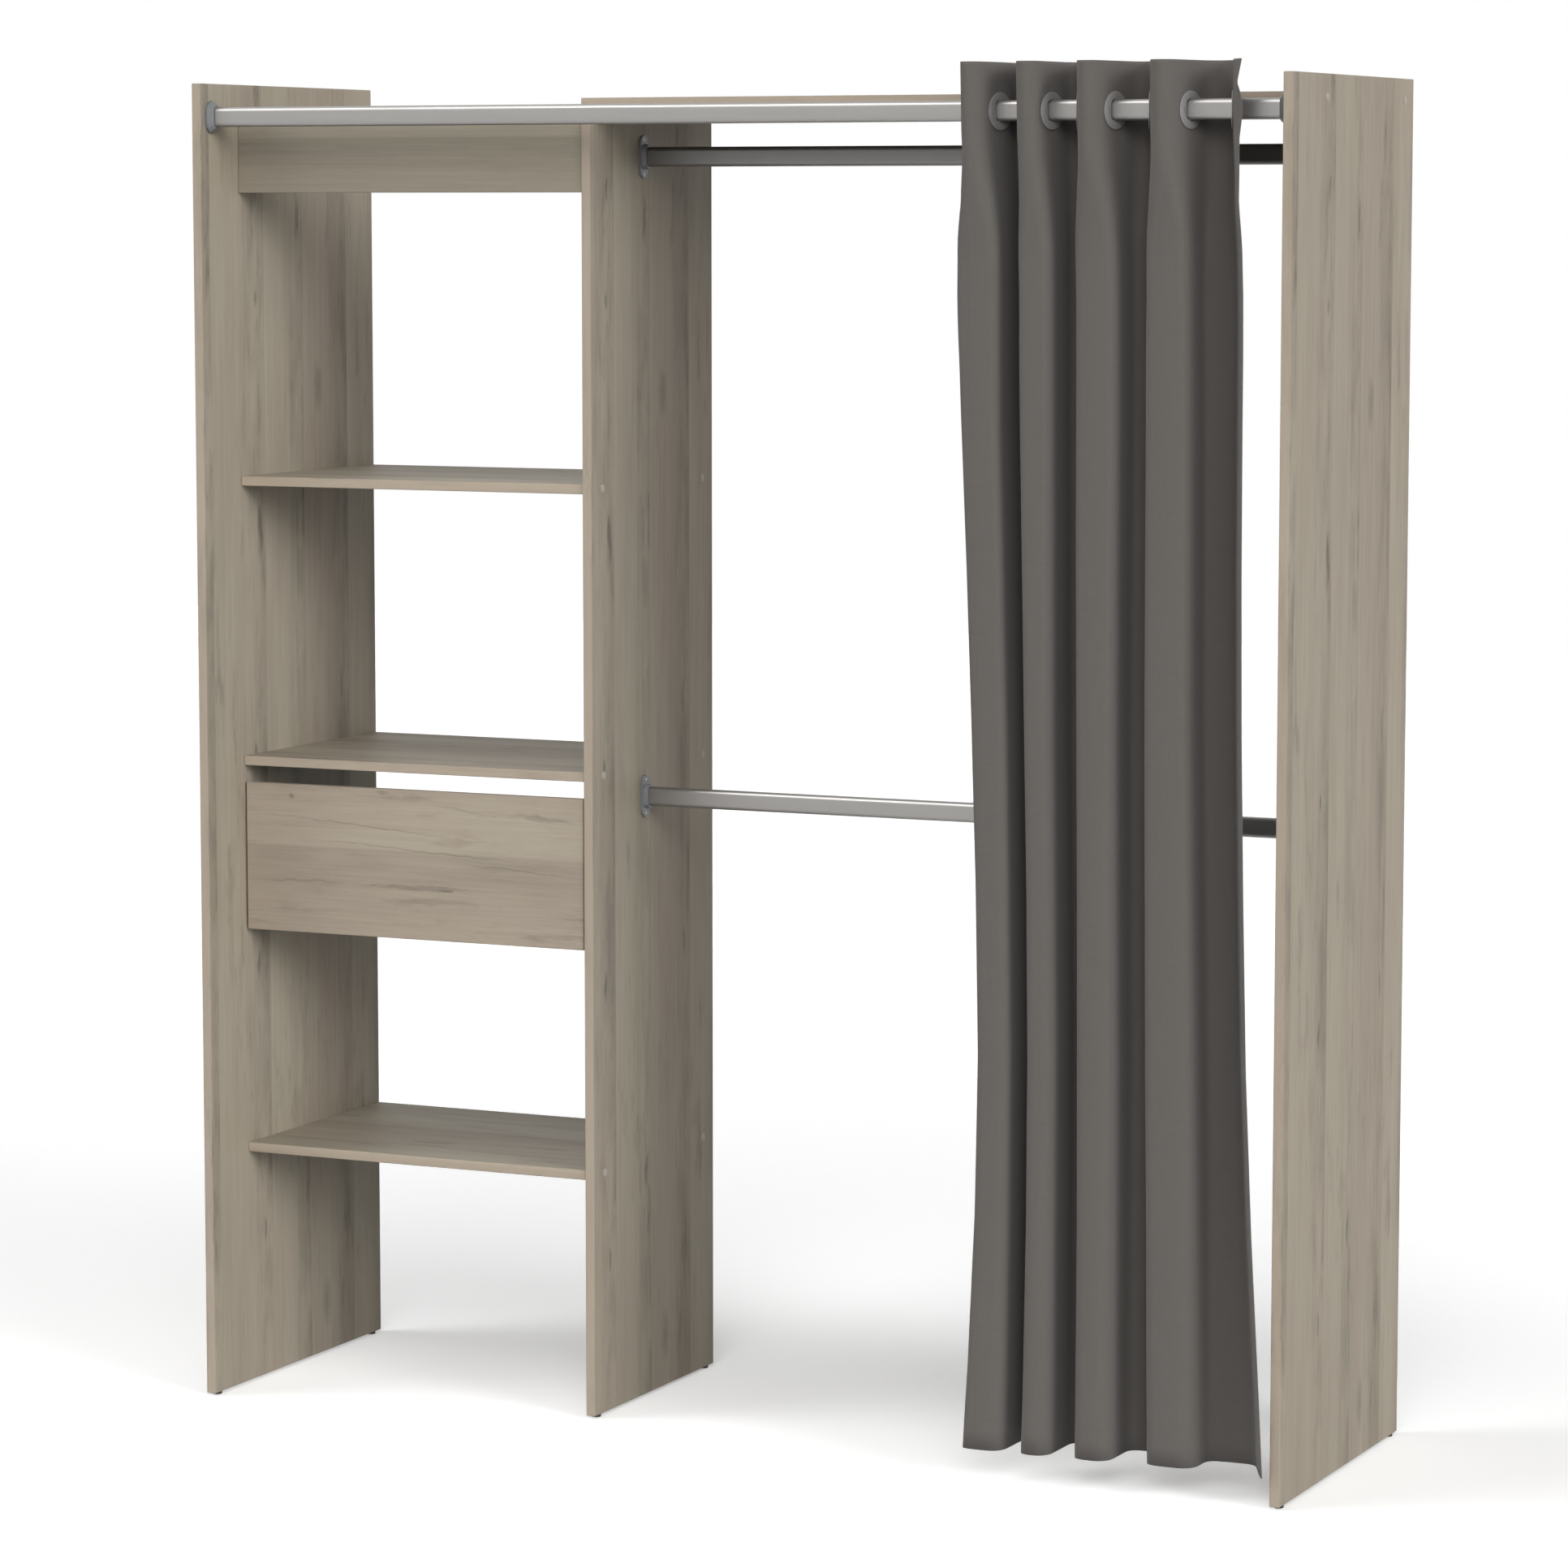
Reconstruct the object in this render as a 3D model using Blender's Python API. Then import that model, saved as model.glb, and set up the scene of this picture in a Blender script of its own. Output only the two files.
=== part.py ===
"""Open-front wardrobe with a curtain on an oval rod.

Three uprights stand on nail-on glides. The left bay holds a rail, three shelves and
a handleless drawer on roller slides. The right bay holds two hanging rods under a
top board. A curtain hangs by eight eyelets from a rod in front of both bays.

Places are measured from the wardrobe's left outer face (x), the uprights' front
edges (y, towards the back) and the floor (z). One empty then moves the whole so that
the origin is the middle of the footprint, on the floor. Metres, +Z up.
"""

import math

import bmesh
import bpy
import numpy as np
from mathutils import Vector

# Fits shared by all pieces
FIT = 0.0003
CUT_OVERRUN = 0.003
WELD = 0.00001

# Boards and the carcass
BOARD = 0.015
EDGE_ROUND = 0.0008
PANEL_HEIGHT = 2.026
PANEL_DEPTH = 0.530
LEFT_BAY = 0.594
RIGHT_BAY = 1.128
CENTRE_SETBACK = 0.1065
CENTRE_DEPTH = 0.420
SHELF_RECESS = 0.0035
TOP_BOARD_DROP = 0.025
RAIL_HEIGHT = 0.125

# Undersides of the shelves above the uprights' lower ends
UPPER_SHELF_HEIGHT = 1.410
MIDDLE_SHELF_HEIGHT = 0.975
LOWER_SHELF_HEIGHT = 0.365

# Nail-on glides
GLIDE_RADIUS = 0.0070
GLIDE_THICKNESS = 0.004
GLIDE_ROUND = 0.0012
GLIDE_NAIL_RADIUS = 0.0011
GLIDE_NAIL_LENGTH = 0.014
GLIDE_INSET = 0.020

# Shelf screws with their cover caps
SCREW_RADIUS = 0.0025
SCREW_HEAD_RADIUS = 0.0048
SCREW_HEAD_DEPTH = 0.0045
SCREW_GRIP = 0.034
CAP_RADIUS = 0.0060
CAP_HEIGHT = 0.0012
CAP_RIM = 0.0005
SCREW_INSET = 0.0365

# Oval rods
ROD_HEIGHT = 0.030
ROD_DEPTH = 0.015
ROD_WALL = 0.0012
ROD_END_GAP = 0.002
CURTAIN_ROD_DEPTH = 0.0293
CURTAIN_ROD_DROP = 0.0507
HANGING_ROD_DEPTH = 0.282
UPPER_HANGING_ROD_DROP = 0.1110
LOWER_HANGING_ROD_HEIGHT = 0.9378

# Rod flanges
CUP_DEPTH = 0.012
CUP_WALL = 0.003
PLATE_THICKNESS = 0.004
CURTAIN_PLATE_HEIGHT = 0.049
CURTAIN_PLATE_WIDTH = 0.033
HANGING_PLATE_HEIGHT = 0.065
HANGING_PLATE_WIDTH = 0.026
PLATE_SCREW_RADIUS = 0.0022

# Drawer
DRAWER_FRONT_HEIGHT = 0.2305
DRAWER_FINGER_GAP = 0.0265
DRAWER_FRONT_GAP = 0.003
DRAWER_BOX_BOARD = 0.012
DRAWER_BOX_HEIGHT = 0.130
DRAWER_BOX_LIFT = 0.016
DRAWER_BOX_LENGTH = 0.350
DRAWER_BOTTOM_THICKNESS = 0.003
DRAWER_BOTTOM_LIFT = 0.009
DRAWER_GROOVE_DEPTH = 0.006

# Roller slides
RUNNER_SPACE = 0.0125
RUNNER_GAUGE = 0.0012
RUNNER_PLAY = 0.001
RUNNER_FLANGE = 0.008
RUNNER_TOP_FLANGE = 0.006
ROLLER_RADIUS = 0.010
ROLLER_WIDTH = 0.0055
ROLLER_BORE_RADIUS = 0.0027
ROLLER_ROUND = 0.0007
ROLLER_INSET = 0.016
AXLE_RADIUS = 0.0024
AXLE_HEAD_RADIUS = 0.0040
AXLE_HEAD_THICKNESS = 0.0008

# Curtain cloth and its place on the rod
CLOTH = 0.0015
CURTAIN_LENGTH = 2.000
CURTAIN_ABOVE_ROD = 0.0687
EYELET_SPACING = 0.125
LEADING_FLAP = 0.100
TRAILING_FLAP = 0.050
LAST_EYELET_INSET = 0.083
GATHERED_WIDTH = 0.3537
HEM_WIDTH = 0.3827
HEM_SHIFT = 0.011
LEADING_EDGE_REACH = 0.053

# Places of the eyelets from the first to the last, in shares of the gathered width
TOP_PLACE_SHARES = (0.0, 0.102, 0.225, 0.344, 0.497, 0.652, 0.816, 1.0)
HEM_PLACE_SHARES = (0.0, 0.094, 0.208, 0.318, 0.462, 0.610, 0.783, 1.0)

# Angles of the cloth where it crosses the rod, from square to the rod
FORWARD_TILT = math.radians(15.0)
RETURN_TILT = math.radians(19.0)
TRAILING_TURN = math.radians(53.0)

# Rows of the cloth: share of its length from the hem up, and share of a flank kept straight
ROW_SHARES = ((0.0, 0.4), (0.30, 0.4), (0.62, 0.5), (0.86, 0.7), (0.945, 1.0), (1.0, 1.0))
LOOP_STEPS = 5

# Eyelets
EYELET_RADIUS = 0.0275
EYELET_BORE_RADIUS = 0.0175
EYELET_WALL = 0.0012
EYELET_ROUND = 0.0004
FLANK_MARGIN = 0.002
EYELET_SIDES = 24

# Sides of small round pieces
SMALL_SIDES = 12
ROLLER_SIDES = 20
ROD_ARC_STEPS = 6

# Heights and depths that follow
FLOOR_TO_PANEL = GLIDE_THICKNESS + FIT
CENTRE_X = BOARD + LEFT_BAY
RIGHT_X = CENTRE_X + BOARD + RIGHT_BAY
WIDTH = RIGHT_X + BOARD
SHELF_FRONT = CENTRE_SETBACK + SHELF_RECESS
CENTRE_REAR = CENTRE_SETBACK + CENTRE_DEPTH
SHELF_DEPTH = CENTRE_REAR - SHELF_FRONT
PANEL_TOP = FLOOR_TO_PANEL + PANEL_HEIGHT
TOP_BOARD_Z = PANEL_TOP - TOP_BOARD_DROP - BOARD
SCREW_ROWS = (CENTRE_SETBACK + SCREW_INSET, CENTRE_REAR - SCREW_INSET)
CURTAIN_ROD_Z = PANEL_TOP - CURTAIN_ROD_DROP
UPPER_ROD_Z = PANEL_TOP - UPPER_HANGING_ROD_DROP
LOWER_ROD_Z = FLOOR_TO_PANEL + LOWER_HANGING_ROD_HEIGHT
EYELET_Z = CURTAIN_ROD_Z + ROD_HEIGHT / 2 + FIT - EYELET_BORE_RADIUS
CURTAIN_TOP = CURTAIN_ROD_Z + CURTAIN_ABOVE_ROD
HEM_Z = CURTAIN_TOP - CURTAIN_LENGTH
FLANK = EYELET_RADIUS + FLANK_MARGIN
FIRST_EYELET_X = RIGHT_X - LAST_EYELET_INSET - GATHERED_WIDTH


def clear_scene():
    """Remove what a new scene starts with."""
    for obj in list(bpy.data.objects):
        bpy.data.objects.remove(obj, do_unlink=True)


def make_material(name, colour, roughness, metallic=0.0):
    """A plain surface with the photographed piece's colour."""
    material = bpy.data.materials.new(name)
    material.use_nodes = True
    shader = material.node_tree.nodes["Principled BSDF"]
    shader.inputs["Base Color"].default_value = (*colour, 1.0)
    shader.inputs["Roughness"].default_value = roughness
    shader.inputs["Metallic"].default_value = metallic
    material.diffuse_color = (*colour, 1.0)
    return material


def make_empty(name, parent=None, location=(0.0, 0.0, 0.0)):
    """A parent for pieces that move together."""
    empty = bpy.data.objects.new(name, None)
    bpy.context.scene.collection.objects.link(empty)
    empty.parent = parent
    empty.location = location
    return empty


def make_piece(name, mesh, material, parent, location, turn=0.0):
    """One named sub-part, placed under its parent and turned about the upright axis."""
    piece = bpy.data.objects.new(name, mesh)
    bpy.context.scene.collection.objects.link(piece)
    piece.parent = parent
    piece.location = location
    piece.rotation_euler = (0.0, 0.0, turn)
    if material is not None:
        mesh.materials.append(material)
    return piece


def make_cutter(name, mesh, parent, location, turn=0.0):
    """A guide that is only used to cut or to join."""
    cutter = make_piece(name, mesh, None, parent, location, turn)
    cutter.hide_render = True
    cutter.display_type = "WIRE"
    return cutter


def combine(piece, tool, operation="DIFFERENCE"):
    """Cut the tool's shape out of a piece, or join it on."""
    modifier = piece.modifiers.new(tool.name, "BOOLEAN")
    modifier.operation = operation
    modifier.solver = "EXACT"
    modifier.object = tool


def finish_mesh(builder, name, smooth=False):
    """Turn a finished bmesh into a mesh with its faces pointing out."""
    bmesh.ops.recalc_face_normals(builder, faces=builder.faces)
    mesh = bpy.data.meshes.new(name)
    builder.to_mesh(mesh)
    builder.free()
    if smooth:
        mesh.shade_smooth()
        mesh.set_sharp_from_angle(angle=math.radians(35.0))
    return mesh


def board_mesh(name, size, edge=EDGE_ROUND):
    """A board from its left front lower corner, with lightly broken edges."""
    builder = bmesh.new()
    bmesh.ops.create_cube(builder, size=1.0)
    bmesh.ops.scale(builder, vec=size, verts=builder.verts)
    bmesh.ops.translate(builder, vec=Vector(size) / 2, verts=builder.verts)
    bmesh.ops.bevel(builder, geom=builder.edges[:], offset=edge, segments=1, affect="EDGES")
    return finish_mesh(builder, name)


def box_mesh(name, low, high):
    """A sharp box between two corners, for cutting."""
    builder = bmesh.new()
    bmesh.ops.create_cube(builder, size=1.0)
    size = Vector(high) - Vector(low)
    bmesh.ops.scale(builder, vec=size, verts=builder.verts)
    bmesh.ops.translate(builder, vec=Vector(low) + size / 2, verts=builder.verts)
    return finish_mesh(builder, name)


def turned_mesh(name, profile, sides, closed=False, upright=False):
    """A profile of (along, radius) points, turned round the X axis, or the Z axis if upright."""
    builder = bmesh.new()
    points = [(along, 0.0, radius) for along, radius in profile]
    if upright:
        points = [(radius, 0.0, along) for along, radius in profile]
    corners = [builder.verts.new(point) for point in points]
    edges = [builder.edges.new(pair) for pair in zip(corners, corners[1:])]
    if closed:
        edges.append(builder.edges.new((corners[-1], corners[0])))
    bmesh.ops.spin(
        builder,
        geom=corners + edges,
        cent=(0.0, 0.0, 0.0),
        axis=(0.0, 0.0, 1.0) if upright else (1.0, 0.0, 0.0),
        angle=math.tau,
        steps=sides,
    )
    bmesh.ops.remove_doubles(builder, verts=builder.verts, dist=WELD)
    return finish_mesh(builder, name, smooth=True)


def oval(width, height):
    """Outline of an upright oval with straight sides, as (y, z) points."""
    radius = width / 2
    straight = height / 2 - radius
    outline = []
    for end in (1, -1):
        for step in range(ROD_ARC_STEPS + 1):
            angle = math.pi * step / ROD_ARC_STEPS
            y = radius * math.cos(angle) * end
            z = straight * end + radius * math.sin(angle) * end
            outline.append((y, z))
    return outline


def lofted_mesh(name, sections, closed=False):
    """Faces between outlines with equal point counts, each at its place along X."""
    builder = bmesh.new()
    loops = []
    for along, outline in sections:
        loops.append([builder.verts.new((along, y, z)) for y, z in outline])
    pairs = list(zip(loops, loops[1:]))
    if closed:
        pairs.append((loops[-1], loops[0]))
    for first, second in pairs:
        for index in range(len(first)):
            after = (index + 1) % len(first)
            builder.faces.new((first[index], first[after], second[after], second[index]))
    if not closed:
        builder.faces.new(loops[0])
        builder.faces.new(loops[-1])
    return finish_mesh(builder, name, smooth=True)


def extruded_mesh(name, outline, length):
    """An (x, z) outline pushed along Y."""
    builder = bmesh.new()
    face = builder.faces.new([builder.verts.new((x, 0.0, z)) for x, z in outline])
    pushed = bmesh.ops.extrude_face_region(builder, geom=[face])
    corners = [item for item in pushed["geom"] if isinstance(item, bmesh.types.BMVert)]
    bmesh.ops.translate(builder, vec=(0.0, length, 0.0), verts=corners)
    return finish_mesh(builder, name)


def make_carcass(root, wood):
    """The three uprights, the top board, the rail and the shelves."""
    panel_size = (BOARD, PANEL_DEPTH, PANEL_HEIGHT)
    centre_size = (BOARD, CENTRE_DEPTH, TOP_BOARD_Z - FIT - FLOOR_TO_PANEL)
    top_size = (RIGHT_X - FIT - CENTRE_X, CENTRE_DEPTH, BOARD)
    bay_size = LEFT_BAY - 2 * FIT
    rail_z = TOP_BOARD_Z - RAIL_HEIGHT
    boards = {
        "left_side_panel": (panel_size, (0.0, 0.0, FLOOR_TO_PANEL)),
        "centre_panel": (centre_size, (CENTRE_X, CENTRE_SETBACK, FLOOR_TO_PANEL)),
        "right_side_panel": (panel_size, (RIGHT_X, 0.0, FLOOR_TO_PANEL)),
        "top_board": (top_size, (CENTRE_X, CENTRE_SETBACK, TOP_BOARD_Z)),
        "top_rail": ((bay_size, BOARD, RAIL_HEIGHT), (BOARD + FIT, SHELF_FRONT, rail_z)),
    }
    for name, height in (
        ("upper_shelf", UPPER_SHELF_HEIGHT),
        ("middle_shelf", MIDDLE_SHELF_HEIGHT),
        ("lower_shelf", LOWER_SHELF_HEIGHT),
    ):
        corner = (BOARD + FIT, SHELF_FRONT, FLOOR_TO_PANEL + height)
        boards[name] = ((bay_size, SHELF_DEPTH, BOARD), corner)
    pieces = {}
    for name, (size, corner) in boards.items():
        pieces[name] = make_piece(name, board_mesh(name, size), wood, root, corner)
    return pieces


def make_glides(root, pieces, plastic):
    """A glide with its nail under each end of each upright."""
    profile = [
        (0.0, 0.0),
        (0.0, GLIDE_RADIUS - GLIDE_ROUND),
        (GLIDE_ROUND, GLIDE_RADIUS),
        (GLIDE_THICKNESS, GLIDE_RADIUS),
        (GLIDE_THICKNESS, GLIDE_NAIL_RADIUS),
        (GLIDE_NAIL_LENGTH, GLIDE_NAIL_RADIUS),
        (GLIDE_NAIL_LENGTH + GLIDE_NAIL_RADIUS, 0.0),
    ]
    mesh = turned_mesh("glide", profile, SMALL_SIDES, upright=True)
    mesh.materials.append(plastic)
    hole_radius = GLIDE_NAIL_RADIUS + FIT
    hole_top = GLIDE_NAIL_LENGTH + GLIDE_NAIL_RADIUS + FIT
    hole = [(0.0, 0.0), (0.0, hole_radius), (hole_top, hole_radius), (hole_top, 0.0)]
    hole_mesh = turned_mesh("glide_hole", hole, SMALL_SIDES, upright=True)
    uprights = (
        ("left", "left_side_panel", 0.0, 0.0, PANEL_DEPTH),
        ("centre", "centre_panel", CENTRE_X, CENTRE_SETBACK, CENTRE_REAR),
        ("right", "right_side_panel", RIGHT_X, 0.0, PANEL_DEPTH),
    )
    for side, panel, x, front, rear in uprights:
        for end, y in (("front", front + GLIDE_INSET), ("rear", rear - GLIDE_INSET)):
            place = (x + BOARD / 2, y, 0.0)
            make_piece(f"{side}_{end}_glide", mesh, None, root, place)
            cutter = make_cutter(f"cut_{side}_{end}_glide", hole_mesh, root, place)
            combine(pieces[panel], cutter)


def shank_profile(clearance):
    """A screw's countersunk head, shank and tip; zero is the face of the board it goes through."""
    taper_end = SCREW_HEAD_DEPTH + SCREW_HEAD_RADIUS - SCREW_RADIUS
    tip = BOARD + SCREW_GRIP
    return [
        (SCREW_HEAD_DEPTH, SCREW_HEAD_RADIUS + clearance),
        (taper_end, SCREW_RADIUS + clearance),
        (tip, SCREW_RADIUS + clearance),
        (tip + SCREW_RADIUS + clearance, 0.0),
    ]


def screw_profile():
    """A screw with its domed cover cap, which stands on the board's face."""
    cap_top = -CAP_HEIGHT - FIT
    cap = [
        (cap_top, 0.0),
        (cap_top, CAP_RADIUS / 2),
        (-CAP_RIM - FIT, CAP_RADIUS),
        (-FIT, CAP_RADIUS),
        (-FIT, SCREW_HEAD_RADIUS),
    ]
    return cap + shank_profile(0.0)


def screw_hole_profile():
    """The hole for a screw, open through the board's face."""
    mouth = [(-CUT_OVERRUN, 0.0), (-CUT_OVERRUN, SCREW_HEAD_RADIUS + FIT)]
    return mouth + shank_profile(FIT)


def make_screws(root, pieces, plastic):
    """Screws through the uprights into the ends of the shelves and of the top board."""
    mesh = turned_mesh("screw", screw_profile(), SMALL_SIDES)
    mesh.materials.append(plastic)
    hole_mesh = turned_mesh("screw_hole", screw_hole_profile(), SMALL_SIDES)
    joints = []
    for shelf, height in (
        ("upper_shelf", UPPER_SHELF_HEIGHT),
        ("middle_shelf", MIDDLE_SHELF_HEIGHT),
        ("lower_shelf", LOWER_SHELF_HEIGHT),
    ):
        middle = FLOOR_TO_PANEL + height + BOARD / 2
        joints.append((shelf, "left", "left_side_panel", 0.0, middle, 0.0))
        centre_face = CENTRE_X + BOARD
        joints.append((shelf, "right", "centre_panel", centre_face, middle, math.pi))
    top_middle = TOP_BOARD_Z + BOARD / 2
    joints.append(("top_board", "right", "right_side_panel", WIDTH, top_middle, math.pi))
    for target, side, panel, x, z, turn in joints:
        for end, y in zip(("front", "rear"), SCREW_ROWS):
            name = f"{target}_{side}_{end}_screw"
            make_piece(name, mesh, None, root, (x, y, z), turn)
            cutter = make_cutter(f"cut_{name}", hole_mesh, root, (x, y, z), turn)
            combine(pieces[panel], cutter)
            combine(pieces[target], cutter)


def flange_mesh(name, plate_width, plate_height, screws):
    """A cup for the rod's end on an oval plate, tapering from the plate to the mouth."""
    pocket = oval(ROD_DEPTH + 2 * FIT, ROD_HEIGHT + 2 * FIT)
    mouth = oval(ROD_DEPTH + 2 * CUP_WALL, ROD_HEIGHT + 2 * CUP_WALL)
    plate = oval(plate_width, plate_height)
    shoulder = oval(ROD_DEPTH + 3 * CUP_WALL, ROD_HEIGHT + 3 * CUP_WALL)
    pocket_floor = ROD_END_GAP - FIT
    if not screws:
        shoulder = plate
    sections = [
        (FIT, plate),
        (PLATE_THICKNESS, plate),
        (PLATE_THICKNESS + FIT, shoulder),
        (CUP_DEPTH, mouth),
        (CUP_DEPTH, pocket),
        (pocket_floor, pocket),
    ]
    return lofted_mesh(name, sections)


def make_rod(name, root, metal, start, end, y, z):
    """An open-ended oval tube between two boards."""
    length = end - start - 2 * ROD_END_GAP
    outer = oval(ROD_DEPTH, ROD_HEIGHT)
    inner = oval(ROD_DEPTH - 2 * ROD_WALL, ROD_HEIGHT - 2 * ROD_WALL)
    sections = [(0.0, outer), (length, outer), (length, inner), (0.0, inner)]
    mesh = lofted_mesh(name, sections, closed=True)
    make_piece(name, mesh, metal, root, (start + ROD_END_GAP, y, z))


def make_flanges(name, root, paint, start, end, y, z, mesh):
    """The same flange at both ends of a rod."""
    mesh.materials.append(paint)
    make_piece(f"{name}_left_flange", mesh, None, root, (start, y, z))
    make_piece(f"{name}_right_flange", mesh, None, root, (end, y, z), math.pi)


def drill_plate(root, name, piece_names, places, plate_height):
    """Screw holes above and below the cup of a hanging rod's flange."""
    reach = (plate_height + ROD_HEIGHT + 3 * CUP_WALL) / 4
    low, high = -CUT_OVERRUN, PLATE_THICKNESS + CUT_OVERRUN
    profile = [(low, 0.0), (low, PLATE_SCREW_RADIUS), (high, PLATE_SCREW_RADIUS), (high, 0.0)]
    mesh = turned_mesh(f"{name}_hole", profile, SMALL_SIDES)
    for piece_name, (place, turn) in zip(piece_names, places):
        for label, side in (("upper", 1), ("lower", -1)):
            hole = (place[0], place[1], place[2] + side * reach)
            cutter = make_cutter(f"cut_{piece_name}_{label}", mesh, root, hole, turn)
            combine(bpy.data.objects[piece_name], cutter)


def make_rods(root, metal, paint):
    """The curtain rod in front and the two hanging rods of the right bay."""
    bay_start = CENTRE_X + BOARD
    rods = (
        ("curtain_rod", BOARD, CURTAIN_ROD_DEPTH, CURTAIN_ROD_Z),
        ("upper_hanging_rod", bay_start, HANGING_ROD_DEPTH, UPPER_ROD_Z),
        ("lower_hanging_rod", bay_start, HANGING_ROD_DEPTH, LOWER_ROD_Z),
    )
    for name, start, y, z in rods:
        hanging = name != "curtain_rod"
        width = HANGING_PLATE_WIDTH if hanging else CURTAIN_PLATE_WIDTH
        height = HANGING_PLATE_HEIGHT if hanging else CURTAIN_PLATE_HEIGHT
        mesh = flange_mesh(f"{name}_flange", width, height, hanging)
        make_rod(name, root, metal, start, RIGHT_X, y, z)
        make_flanges(name, root, paint, start, RIGHT_X, y, z, mesh)
        if hanging:
            names = (f"{name}_left_flange", f"{name}_right_flange")
            places = (((start, y, z), 0.0), ((RIGHT_X, y, z), math.pi))
            drill_plate(root, name, names, places, height)


def make_drawer_boards(drawer, wood, hardboard):
    """The front and the low box behind it; zero is the front's left lower corner."""
    front_width = LEFT_BAY - 2 * DRAWER_FRONT_GAP
    box_left = RUNNER_SPACE - DRAWER_FRONT_GAP
    box_right = front_width - box_left
    box_y = BOARD + FIT
    box_z = DRAWER_BOX_LIFT
    side_size = (DRAWER_BOX_BOARD, DRAWER_BOX_LENGTH, DRAWER_BOX_HEIGHT)
    inner_left = box_left + DRAWER_BOX_BOARD
    inner_right = box_right - DRAWER_BOX_BOARD
    back_size = (inner_right - inner_left - 2 * FIT, DRAWER_BOX_BOARD, DRAWER_BOX_HEIGHT)
    back_y = box_y + DRAWER_BOX_LENGTH - DRAWER_BOX_BOARD
    groove = DRAWER_GROOVE_DEPTH
    bottom_low = Vector((inner_left - groove, BOARD - groove, box_z + DRAWER_BOTTOM_LIFT))
    bottom_high = Vector((inner_right + groove, back_y + groove, bottom_low.z))
    bottom_high.z += DRAWER_BOTTOM_THICKNESS
    front_size = (front_width, BOARD, DRAWER_FRONT_HEIGHT)
    boards = {
        "drawer_front": (front_size, (0.0, 0.0, 0.0)),
        "drawer_left_side": (side_size, (box_left, box_y, box_z)),
        "drawer_right_side": (side_size, (inner_right, box_y, box_z)),
        "drawer_back": (back_size, (inner_left + FIT, back_y, box_z)),
    }
    margin = Vector((FIT, FIT, FIT))
    cutter_mesh = box_mesh("cut_drawer_groove", bottom_low - margin, bottom_high + margin)
    cutter = make_cutter("cut_drawer_groove", cutter_mesh, drawer, (0.0, 0.0, 0.0))
    for name, (size, corner) in boards.items():
        piece = make_piece(name, board_mesh(name, size), wood, drawer, corner)
        combine(piece, cutter)
    bottom = board_mesh("drawer_bottom", bottom_high - bottom_low, EDGE_ROUND / 2)
    make_piece("drawer_bottom", bottom, hardboard, drawer, bottom_low)


def cabinet_runner_outline(side):
    """A channel open towards the drawer; zero is the upright's face and the rollers' centre."""
    back = FIT
    web = back + RUNNER_GAUGE
    track = -(ROLLER_RADIUS + FIT)
    roof = ROLLER_RADIUS + FIT + RUNNER_GAUGE + RUNNER_PLAY
    points = [
        (back, track - RUNNER_GAUGE),
        (web + RUNNER_FLANGE, track - RUNNER_GAUGE),
        (web + RUNNER_FLANGE, track),
        (web, track),
        (web, roof),
        (web + RUNNER_TOP_FLANGE, roof),
        (web + RUNNER_TOP_FLANGE, roof + RUNNER_GAUGE),
        (back, roof + RUNNER_GAUGE),
    ]
    return [(side * x, z) for x, z in points]


def drawer_runner_outline(side):
    """A strip under and beside the box, with a flange that rides on the front roller."""
    outer = RUNNER_SPACE - FIT - RUNNER_GAUGE
    inner = RUNNER_SPACE - FIT
    under = -(ROLLER_RADIUS + FIT) - FIT
    ride = ROLLER_RADIUS + FIT
    points = [
        (outer, under - RUNNER_GAUGE),
        (inner + DRAWER_BOX_BOARD, under - RUNNER_GAUGE),
        (inner + DRAWER_BOX_BOARD, under),
        (inner, under),
        (inner, ride + RUNNER_GAUGE),
        (outer - RUNNER_FLANGE, ride + RUNNER_GAUGE),
        (outer - RUNNER_FLANGE, ride),
        (outer, ride),
    ]
    return [(side * x, z) for x, z in points]


def axle_mesh(name, start, roller_far_side, side):
    """A riveted pin with a head that keeps the roller on."""
    sink = RUNNER_GAUGE / 2
    toward = 1 if roller_far_side > start else -1
    head = roller_far_side + toward * FIT
    profile = [
        (start - toward * sink, 0.0),
        (start - toward * sink, AXLE_RADIUS),
        (head, AXLE_RADIUS),
        (head, AXLE_HEAD_RADIUS),
        (head + toward * AXLE_HEAD_THICKNESS, AXLE_HEAD_RADIUS),
        (head + toward * AXLE_HEAD_THICKNESS, 0.0),
    ]
    return turned_mesh(name, [(side * along, radius) for along, radius in profile], SMALL_SIDES)


def roller_mesh():
    """A nylon roller with a through bore, about its own centre."""
    half = ROLLER_WIDTH / 2
    profile = [
        (-half, ROLLER_BORE_RADIUS),
        (-half, ROLLER_RADIUS - ROLLER_ROUND),
        (-half + ROLLER_ROUND, ROLLER_RADIUS),
        (half - ROLLER_ROUND, ROLLER_RADIUS),
        (half, ROLLER_RADIUS - ROLLER_ROUND),
        (half, ROLLER_BORE_RADIUS),
    ]
    return turned_mesh("roller", profile, ROLLER_SIDES, closed=True)


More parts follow.
